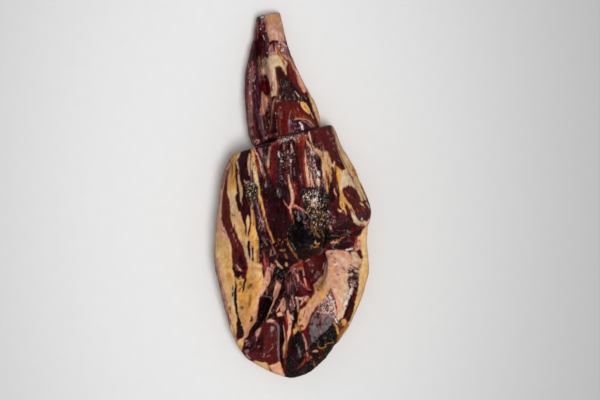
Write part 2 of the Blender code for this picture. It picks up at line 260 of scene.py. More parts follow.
# Every mark below is: its name, its finish, how soft its edge is, and its pixels. Pixels with a third
# number are a streak, and that number is half its width there. Pixels with two are the corners of a
# closed patch. A share under 1 at the end breaks the mark up into flecks that cover that much of it, and
# the number after it is their size.
SHANK_MARKS = (
    ("whole shank", "wine", 2.0, ((235, 5), (300, 5), (335, 140), (235, 155))),
    ("side muscle lean", "garnet", 0.8, (
        (253, 36), (238, 60), (236, 95), (238, 122), (244, 150), (262, 150), (259, 90), (259, 40),
    )),
    # Painted light: the rounded rim of the side muscle in lit garnet.
    ("side muscle rim", "lit_garnet", 1.2, (
        (246, 58, 1.6), (243.8, 72, 2.6), (242.6, 98, 3.4), (243.6, 110, 3), (246, 122, 2),
    )),
    ("side muscle inside", "violet", 1.4, (
        (256, 40), (252.6, 52), (254, 62), (254.6, 72), (253, 92), (254, 114), (256.6, 128), (259, 140),
        (268, 146), (264, 110), (263, 80), (261, 42),
    )),
    ("side muscle top", "wine", 2.0, (
        (255, 42, 1), (252.6, 49, 2), (252.6, 56, 2.6), (254.6, 62, 2),
    ), 0.8, 5.0),
    # The bloom along the side muscle is painted sheen on its rounded side, its lit garnet is painted light,
    # and its stipple and glints are painted highlights.
    ("side muscle bloom top", "mauve", 1.8, (
        (252, 62, 0.6), (252.6, 66, 1.6), (251.2, 80, 1.8),
    ), 0.55, 1.4),
    ("side muscle bloom", "mauve", 1.4, (
        (251, 70, 1), (250.8, 84, 1.5), (250, 92, 1.6), (250.1, 100, 2.1), (250.2, 118, 2.2),
        (250, 126, 1.4),
    )),
    ("side muscle bloom rose", "rose", 1.0, ((249, 84, 0.6), (248.8, 116, 0.8)), 0.5, 1.6),
    ("side muscle low bloom", "mauve", 2.0, (
        (250, 128, 0.8), (252.4, 135, 1.8), (254.4, 141, 2),
    ), 0.6, 1.6),
    ("side muscle low red", "lit_garnet", 1.6, ((249.4, 127, 1), (254, 141, 1.6)), 0.4, 2.0),
    ("side muscle stipple", "blush", 0.4, ((248, 66), (252.6, 66), (253, 122), (248.4, 122)), 0.08, 0.8),
    ("side muscle glint high", "white", 0.4, ((250.4, 69, 0.2), (249.8, 75, 0.3)), 0.7, 1.0),
    ("side muscle glint middle", "white", 0.4, ((249.4, 92, 0.2), (249.6, 94.4, 0.5))),
    ("side muscle glint low", "white", 0.4, (
        (251.4, 124.6, 0.4), (252.6, 123.4, 0.4), (252.8, 122.2, 0.3),
    )),
    ("side muscle plum", "plum", 1.6, ((255.6, 104, 1), (258, 114, 2), (262.4, 134, 1.8))),
    ("side muscle wine line", "wine", 1.0, ((254, 113, 0.6), (258.4, 130, 1.4), (260.4, 138, 1.2))),
    ("side muscle end ring", "blush", 0.5, (
        (254.6, 142.4, 0.5), (256.2, 140, 0.5), (258.4, 140.4, 0.6), (258.8, 142.4, 0.6),
        (256.4, 143.8, 0.5),
    )),
    ("side muscle end", "mauve", 0.5, ((256.8, 141.8, 0.8),)),
    ("upper tendon", "mauve", 0.8, (
        (256.4, 22), (257.4, 25), (258, 38), (254.6, 41), (253.2, 34), (252.6, 28),
    )),
    ("upper tendon tan", "clay", 0.8, ((256.6, 23, 0.4), (254, 31, 0.6)), 0.8, 2.0),
    ("upper tendon shade", "plum", 0.8, ((256.6, 28, 0.6), (256, 40, 1.2))),
    # Painted shade in the groove beside the side muscle, high and low.
    ("groove", "black", 1.0, ((256.4, 41, 0.4), (257.8, 55, 1.4), (257.6, 62, 1), (258.2, 70, 0.4))),
    ("groove low", "black", 0.8, ((257.6, 101, 0.3), (258.8, 106, 1), (259.6, 111, 0.5))),
    ("wine strip", "wine", 0.7, (
        (257.2, 19.6), (259, 17.6), (263.4, 17.6), (264.4, 24), (265.2, 31), (264, 40), (263.4, 56),
        (261, 60), (259.4, 52), (259, 42), (258, 32),
    )),
    ("wine strip red", "garnet", 0.8, (
        (262, 24, 0.9), (262, 32, 1.6), (261.4, 42, 1.6), (261.8, 50, 1.3), (261.6, 57, 0.8),
    )),
    ("wine strip orange edge", "rust", 0.5, ((257.4, 20.6, 0.4), (258.5, 35, 0.4))),
    ("wine strip specks", "mauve", 0.4, ((258, 18), (264, 18), (264, 27), (259, 27)), 0.25, 0.8),
    # Painted highlights on the wine strip.
    ("strip tip glint", "white", 0.5, ((261, 17.4, 0.6), (262.8, 17, 0.6))),
    ("strip glint high", "white", 0.4, ((260.8, 29.8, 0.5),)),
    ("strip glint right", "white", 0.4, ((265.6, 31.5, 0.4),)),
    ("strip glint long", "white", 0.4, ((263.3, 35.8, 0.4), (264.7, 39.8, 0.4))),
    ("rind fringe", "mauve", 1.2, ((265.6, 19, 1), (268.2, 36, 1), (268.6, 42, 0.7))),
    ("fringe shade", "plum", 1.0, (
        (266, 33), (268.4, 36), (269, 42), (267, 46.6), (264.6, 46), (264.8, 38),
    )),
    ("stump rind", "tan", 1.2, (
        (264, 14), (272, 11), (281, 9), (288, 36), (290, 42), (280, 41.6), (277, 41.4), (272.6, 39.6),
        (270.4, 42), (269.6, 40), (268.8, 32), (267.2, 22),
    )),
    ("stump rind pink", "clay", 3.0, ((268.4, 26), (276, 24), (283, 27), (289, 42), (279, 41), (270, 39))),
    ("stump rind blush", "rose", 3.0, ((276, 34, 1), (280, 37, 1.8), (285, 38, 1.6)), 0.4, 3.0),
    ("stump rind streaks", "blush", 0.6, ((271, 30), (285, 27), (288, 40), (272, 39)), 0.14, 1.6),
    ("stump glint", "white", 0.6, ((278, 26.6, 0.4), (280.2, 22.8, 0.4)), 0.6, 1.0),
    ("cap", "mauve", 0.8, (
        (267, 47), (270, 42.6), (272.4, 40), (276, 40), (280, 41), (290, 41), (294, 52), (297, 64),
        (292, 63), (283, 57), (279, 54), (275, 54), (270, 56), (266, 56),
    )),
    ("cap rim", "garnet", 0.6, (
        (267.4, 53, 0.9), (267.2, 48.6, 0.8), (271.8, 42, 1.1), (274.4, 41.2, 1.1), (277, 42, 0.6),
    )),
    ("cap dark left", "violet", 0.9, ((266.6, 50, 0.8), (267, 55, 1.2), (265.4, 58, 0.9))),
    ("cap streak", "violet", 0.8, ((273.4, 43, 1.3), (274.6, 52, 0.5))),
    ("cap plum", "plum", 1.2, ((277, 42, 0.8), (279, 44.4, 1.8), (281, 47, 1.4))),
    ("cap rose", "peach", 1.0, ((275.2, 46.6, 0.4), (276.4, 50, 1), (276.6, 54, 1.2)), 0.8, 2.0),
    ("cap outer plum", "plum", 1.2, ((287, 40, 1), (290, 47, 1.6), (299, 68, 0.9))),
    ("cap outer wine", "wine", 0.8, ((284.6, 41.6, 0.5), (287.6, 44.6, 0.9), (292.4, 56, 0.5))),
    ("cap cream stroke", "blush", 0.5, ((281, 42.4, 0.3), (285.6, 46, 0.8), (286.8, 47.8, 0.3))),
    ("cap glint", "cream", 0.5, ((281.6, 51, 0.9), (283.2, 50.6, 0.8))),
    ("cap specks", "blush", 0.4, ((277, 42), (281, 42), (284, 49), (279, 49)), 0.25, 0.8),
    ("cap small speck", "blush", 0.4, ((267.2, 52.6, 0.6),)),
    ("cap low", "clay", 1.6, ((284, 55, 0.8), (289.6, 61, 0.8))),
    ("beige zone", "cream", 1.2, (
        (268.4, 57), (273, 55), (277, 53.6), (279.6, 56), (283, 60), (287.6, 61.6), (287.4, 64.6),
        (286, 67.6), (285.6, 73), (281, 67), (277, 66.4), (275.6, 68), (276.2, 76), (277.8, 90),
        (276.4, 95.6), (273.6, 97), (271.4, 97.6), (270.8, 90), (268.8, 81), (266.4, 75), (262.6, 76),
        (260.6, 71), (262, 64),
    )),
    ("beige zone top", "clay", 1.6, ((271, 53.6, 1), (274.6, 53, 1.4), (278, 55, 0.8))),
    ("beige zone tan", "beige", 2.4, ((270.6, 60, 1.2), (273.6, 62, 2), (277.6, 62, 1.2))),
    ("beige zone left", "mauve", 2.4, ((264, 59, 1), (261.6, 65, 1.4), (261, 72, 1.4)), 0.75, 2.4),
    ("beige zone strands", "violet", 0.7, (
        (262, 56), (268, 56), (268, 62), (264, 67), (260, 66),
    ), 0.42, 1.8),
    ("beige zone pale strands", "cream", 0.6, ((262, 60), (268, 58), (267, 74), (261, 76)), 0.5, 1.6),
    ("beige zone peach", "clay", 2.4, (
        (268, 66, 0.8), (271, 74, 1.8), (273.4, 83, 2.2), (274.6, 92, 1.6),
    ), 0.75, 4.0),
    ("beige zone nick", "mauve", 0.6, ((270.6, 82), (272.6, 84), (273, 92), (271.2, 92)), 0.45, 1.4),
    ("violet patch", "mauve", 1.2, ((259.6, 57, 1), (259.6, 62, 1.4), (261, 66, 0.6))),
    ("violet patch dark", "violet", 1.0, ((261.6, 58, 0.9), (261.6, 64, 0.9), (262.6, 69, 0.4)), 0.7, 1.8),
    ("rose thread", "mauve", 0.7, ((258.9, 63, 0.5), (259.8, 77, 0.8), (260.8, 84, 0.5))),
    ("red oval", "garnet", 0.7, (
        (264.4, 74), (267.4, 77), (270.4, 87), (270.9, 93), (271, 98.4), (269.4, 99.4), (266.6, 97),
        (261.4, 89.4), (260.7, 84), (261.6, 78),
    )),
    # Painted light on the red oval, in lit garnet.
    ("red oval bright", "lit_garnet", 1.0, ((262.2, 80, 0.6), (262.8, 86, 1.2), (265, 91, 0.8))),
    ("red oval stipple", "mauve", 0.5, ((262, 75), (266, 75), (266, 80), (262, 80)), 0.25, 1.2),
    ("peach stretch", "peach", 0.8, (
        (262, 91.4), (264.4, 94.6), (267.2, 97.6), (268, 102), (265.6, 112), (264, 115), (261.4, 114.4),
        (260.8, 108), (261.6, 100),
    )),
    ("peach stretch pale", "blush", 1.2, ((264, 98, 1), (264.4, 106, 1.2)), 0.6, 2.5),
    ("peach stretch orange", "flame", 1.0, ((261.2, 102, 0.3), (262, 113, 0.8))),
    ("flame spot", "flame", 0.7, ((262.8, 114, 0.7), (265.4, 119, 0.5))),
    ("dark gusset", "wine", 0.7, (
        (271.4, 97), (275, 95.6), (275, 99), (273.4, 103), (271, 113), (270.6, 122), (270.4, 139),
        (265, 139), (264.4, 122), (267, 108), (268.4, 101),
    )),
    ("gusset red", "garnet", 1.0, ((272.6, 98, 0.7), (270.4, 103, 1), (268.6, 110, 1)), 0.7, 2.5),
    ("gusset specks", "mauve", 0.4, (
        (266, 104), (271, 104), (270.4, 138), (265, 138), (265, 118),
    ), 0.3, 0.8),
    ("gusset pale speck", "blush", 0.4, ((266.6, 126.4, 0.5), (267, 127.8, 0.4))),
    ("gusset left line", "mauve", 0.6, ((261.4, 114, 0.3), (265, 139, 0.8))),
    ("gusset foot", "blush", 0.6, ((265.5, 138, 0.7), (267.4, 137.4, 0.8), (269.4, 133.4, 0.4)), 0.75, 1.2),
    ("tan thread", "rust", 0.7, (
        (275.4, 96.6, 0.8), (274.4, 103, 1.2), (271.8, 122, 1), (271.6, 137, 0.9),
    )),
    ("tan thread pale", "clay", 0.5, (
        (275, 99.4, 0.3), (273.4, 102.4, 0.5), (271.5, 115, 0.7), (271, 138, 0.7),
    )),
    ("shin brown", "brown", 1.0, (
        (275.8, 67.6), (278, 66.4), (281, 67.6), (283, 71), (286, 73), (289, 78), (299, 89), (304, 94.6),
        (309, 98), (311, 104), (314, 114), (309, 112), (303, 106), (296, 101.6), (290, 101), (284, 101.6),
        (278, 100), (276.4, 98), (278, 91), (278, 84), (276.8, 76),
    )),
    ("shin brown light", "rust", 2.4, ((280, 69, 0.6), (284, 74, 1)), 0.5, 3.0),
    ("shin brown dark", "crust", 2.0, ((284, 77, 1), (294, 90, 3), (299, 96, 2)), 0.5, 3.0),
    ("shin specks", "silver", 0.5, ((279, 80), (287, 81), (290, 88), (284, 89), (279, 88)), 0.2, 1.1),
    ("shin low specks", "silver", 0.5, (
        (281, 91), (292, 93), (304, 97), (300, 104), (286, 101),
    ), 0.09, 0.9),
    ("shin olive", "olive", 1.2, ((297, 94, 0.8), (301, 99, 1.4)), 0.5, 1.6),
    ("shin top edge", "ochre", 0.7, ((275.2, 68, 0.4), (276.6, 66.4, 0.6), (279.6, 65.8, 0.5))),
    ("shin left edge", "rust", 0.6, (
        (275.4, 68, 0.5), (277.8, 84, 0.8), (278.1, 91, 0.8), (275.6, 101, 0.7),
    )),
    ("shin left fire", "flame", 0.5, ((276, 73, 0.3), (277.6, 83, 0.4), (277.8, 90, 0.4)), 0.8, 3.0),
    ("amber stripe", "amber", 0.9, (
        (275.4, 47, 0.3), (282.4, 60, 1.7), (284.4, 65, 1.6), (285.8, 74, 0.5),
    )),
    ("amber stripe root", "flame", 0.8, ((275.6, 47.4, 0.3), (279, 54.4, 0.6))),
    ("amber stripe core", "ochre", 0.9, ((279.4, 55.4, 0.5), (283.4, 62.4, 1.1), (284.2, 64.8, 0.6))),
    ("amber stripe gold", "gold", 0.9, ((280.4, 56.6, 0.4), (282.4, 59.8, 0.7)), 0.7, 2.0),
    ("stripe low", "beige", 0.9, ((283.6, 66, 0.7), (285.6, 73.6, 0.4))),
    ("stripe right", "cream", 1.0, ((285, 61.4, 0.6), (286.8, 63.6, 0.9))),
    ("stripe rust", "rust", 0.8, ((286.2, 70, 0.4), (286.8, 77, 0.3))),
    ("calf red", "garnet", 1.4, (
        (287.6, 60), (289.6, 62.6), (291, 66.4), (299, 81), (307, 93), (309, 98), (305.6, 98), (301.6, 94),
        (292, 83), (288.6, 78), (287, 71.6), (287.6, 65.6),
    )),
    # Painted light on the calf, in lit garnet.
    ("calf red bright", "lit_garnet", 1.8, ((289.4, 66, 0.6), (291.4, 71.6, 1.4), (299, 84, 0.8))),
    ("outer fat", "peach", 0.9, (
        (288.4, 57.6), (291, 57), (294, 58), (299, 66), (303, 72), (308, 82), (313, 91), (321, 112),
        (326, 126), (319, 126.4), (316, 117.6), (310.8, 102.6), (307.8, 92.6), (298, 78), (292.4, 67.4),
        (290.8, 62.6),
    )),
    ("calf orange edge", "rust", 0.8, (
        (288.2, 60, 0.4), (295.6, 74.8, 0.8), (307, 92, 0.7), (308.8, 97, 0.5),
    )),
    ("outer fat grey top", "mauve", 1.8, ((289.6, 57, 1), (292, 61, 1.4), (297, 70, 0.7))),
    ("outer fat plum edge", "plum", 1.0, ((293.4, 54, 1), (296, 62, 1), (299.4, 69, 0.7))),
    ("outer fat middle", "peach", 1.4, ((298.4, 77, 1), (301.4, 84, 2.2), (304.4, 90.6, 1.8))),
    ("outer fat amber", "amber", 1.6, ((302, 78, 0.6), (309.6, 93, 0.9)), 0.6, 3.0),
    ("outer fat low", "straw", 2.0, ((310.4, 95, 1.2), (314.6, 103, 2.2), (322, 124, 2.4))),
    ("outer fat low grey", "olive", 1.2, ((316, 113, 0.4), (318.6, 122, 0.6)), 0.35, 3.0),
    ("flank dark", "wine", 0.9, (
        (304, 95), (308.4, 97), (310.6, 103), (316, 118), (319, 126), (313, 126), (310, 116), (308, 108),
        (304, 102),
    )),
    ("flank brown", "rust", 1.2, ((312.6, 112, 0.4), (317, 124, 0.7)), 0.6, 2.0),
    ("flank mauve fleck", "mauve", 0.6, ((304, 96, 0.4), (306.5, 98.4, 0.5)), 0.7, 1.0),
    ("grey thread", "cream", 0.5, ((295, 91.4, 0.3), (299, 96.6, 0.5))),
    ("grey thread spot", "cream", 0.4, ((298.4, 101.4, 0.3), (299.4, 104, 0.5))),
    ("shin gold line", "beige", 0.5, ((280.2, 96, 0.3), (279.2, 103.4, 0.4))),
    ("foot", "maroon", 1.6, (
        (277, 100), (290, 101), (300, 103), (306, 108), (312, 114), (318, 126), (300, 140), (271, 140),
        (272, 122), (274.6, 108),
    )),
    ("foot red", "garnet", 1.8, (
        (282, 110), (288, 106), (296, 104), (303, 108), (309, 114), (312, 120), (306, 118), (296, 117.6),
        (291.6, 111), (288.6, 122), (288.6, 138), (281, 138),
    ), 0.35, 4.0),
    ("foot glow", "rust", 2.0, (
        (288, 110, 0.8), (292, 109, 1.2), (296, 113, 1.2), (307, 118, 0.8),
    ), 0.7, 3.0),
    ("foot plum", "plum", 1.0, ((275.6, 110, 0.8), (277, 136, 1.6)), 0.7, 2.0),
    ("foot chain", "beige", 0.4, ((275.8, 113, 0.4), (277, 134, 0.6)), 0.4, 0.9),
    ("foot rust line", "rust", 0.6, ((278.6, 108, 0.3), (279.6, 116, 0.6), (281, 136, 0.7))),
    ("foot streak", "wine", 1.2, ((274, 108, 0.8), (276, 132, 1.6)), 0.8, 3.0),
    ("foot mauve zone", "violet", 0.9, (
        (290.6, 112), (292.6, 114.6), (294.6, 120), (300, 119.6), (304, 120.4), (307, 123), (309, 127),
        (306, 131), (304, 137), (296, 138), (290, 139), (289.2, 128), (289.4, 118),
    )),
    ("foot mauve stipple", "mauve", 0.5, (
        (290, 114), (294, 120), (304, 121), (303, 136), (290, 138),
    ), 0.14, 0.7),
    ("foot mauve edge", "mauve", 0.6, (
        (290.8, 111.6, 0.4), (289.4, 116, 0.4), (289, 124, 0.5), (289.6, 132, 0.4),
    )),
    # Painted highlights on the foot.
    ("foot white", "white", 0.5, ((300.2, 122, 0.5), (301.6, 124.6, 1), (302.6, 128.4, 1.1)), 0.85, 1.1),
    ("foot white branch", "white", 0.4, ((299.4, 122.4, 0.3), (301, 124, 0.5))),
    ("foot arc rust", "rust", 1.2, (
        (290.4, 110.4, 0.5), (294, 115, 0.8), (296, 117.6, 1), (301, 117, 1), (306.6, 117.6, 1.2),
        (311, 120.6, 1.2), (315, 125, 1),
    )),
    ("foot arc fire", "flame", 0.9, ((294.6, 117, 0.5), (306, 118.4, 0.6), (311, 121.4, 0.6)), 0.6, 3.0),
    ("foot arc", "clay", 0.7, (
        (294.6, 120, 0.4), (297, 118.8, 0.6), (306, 119.6, 0.4), (310, 122, 0.6), (313.6, 126, 0.7),
    )),
    ("foot arc under", "mauve", 0.8, ((303, 120.8, 0.4), (308, 123.6, 0.8), (311.6, 127, 0.8))),
    ("foot seam", "violet", 1.0, ((281, 137, 1.4), (290, 136, 1.6), (304, 133.6, 1.6))),
    ("foot seam specks", "blush", 0.4, (
        (276, 139), (281, 137), (292, 135.6), (304, 132.6), (304, 138), (290, 141), (278, 142),
    ), 0.45, 0.8),
    ("slit lip", "mauve", 1.2, ((265, 139, 0.8), (270, 136.4, 1.2), (277, 134, 1)), 0.8, 1.4),
    ("groove right wall", "mauve", 1.4, ((262.4, 42, 1), (264, 48, 1.4), (263, 59, 0.6)), 0.7, 1.8),
    ("beige zone corner", "cream", 1.8, ((264.6, 64, 1.4), (265.2, 68, 1.8), (264.6, 73, 1))),
    ("beige zone foot", "mauve", 1.6, ((262.4, 74, 1.2), (262, 79, 1)), 0.8, 2.0),
    ("side muscle shoulder", "garnet", 1.8, (
        (254, 42, 0.6), (251.8, 49, 1.8), (250.6, 56, 1.8), (250.4, 63, 1.2),
    ), 0.85, 4.0),
    ("cap right edge", "plum", 1.4, ((287.6, 47, 1), (289.4, 51, 1.4), (291.4, 57, 1.2)), 0.9, 2.4),
    # Painted sheen on the side muscle.
    ("side muscle low bloom", "mauve", 1.4, (
        (250.4, 108, 0.8), (251.2, 116, 1.4), (253, 125, 0.9),
    ), 0.8, 2.4),
    ("peach stretch light", "blush", 1.2, ((262.6, 97, 0.8), (263.4, 103, 1.1)), 0.8, 3.0),
    ("foot brown fleck", "mauve", 0.6, ((297, 108, 0.4), (298.4, 111, 0.5)), 0.7, 1.0),
    ("lozenge rim", "straw", 0.4, (
        (300.6, 102.4), (303, 102.2), (306, 103.8), (308.8, 107.2), (310.2, 110.6), (309.8, 113.6),
        (308, 113.6), (302, 107.6),
    )),
    ("lozenge", "gold", 0.6, (
        (302, 103.6), (304, 103.8), (306.4, 105.6), (308.4, 109), (308.2, 111.4), (304.6, 109),
        (302.2, 106),
    )),
    ("lozenge core", "ochre", 0.7, ((304.2, 106.4, 0.5), (306, 108.4, 0.5))),
    ("lozenge tail", "cream", 0.4, ((310.4, 112, 0.3), (313.4, 118.4, 0.5))),
)

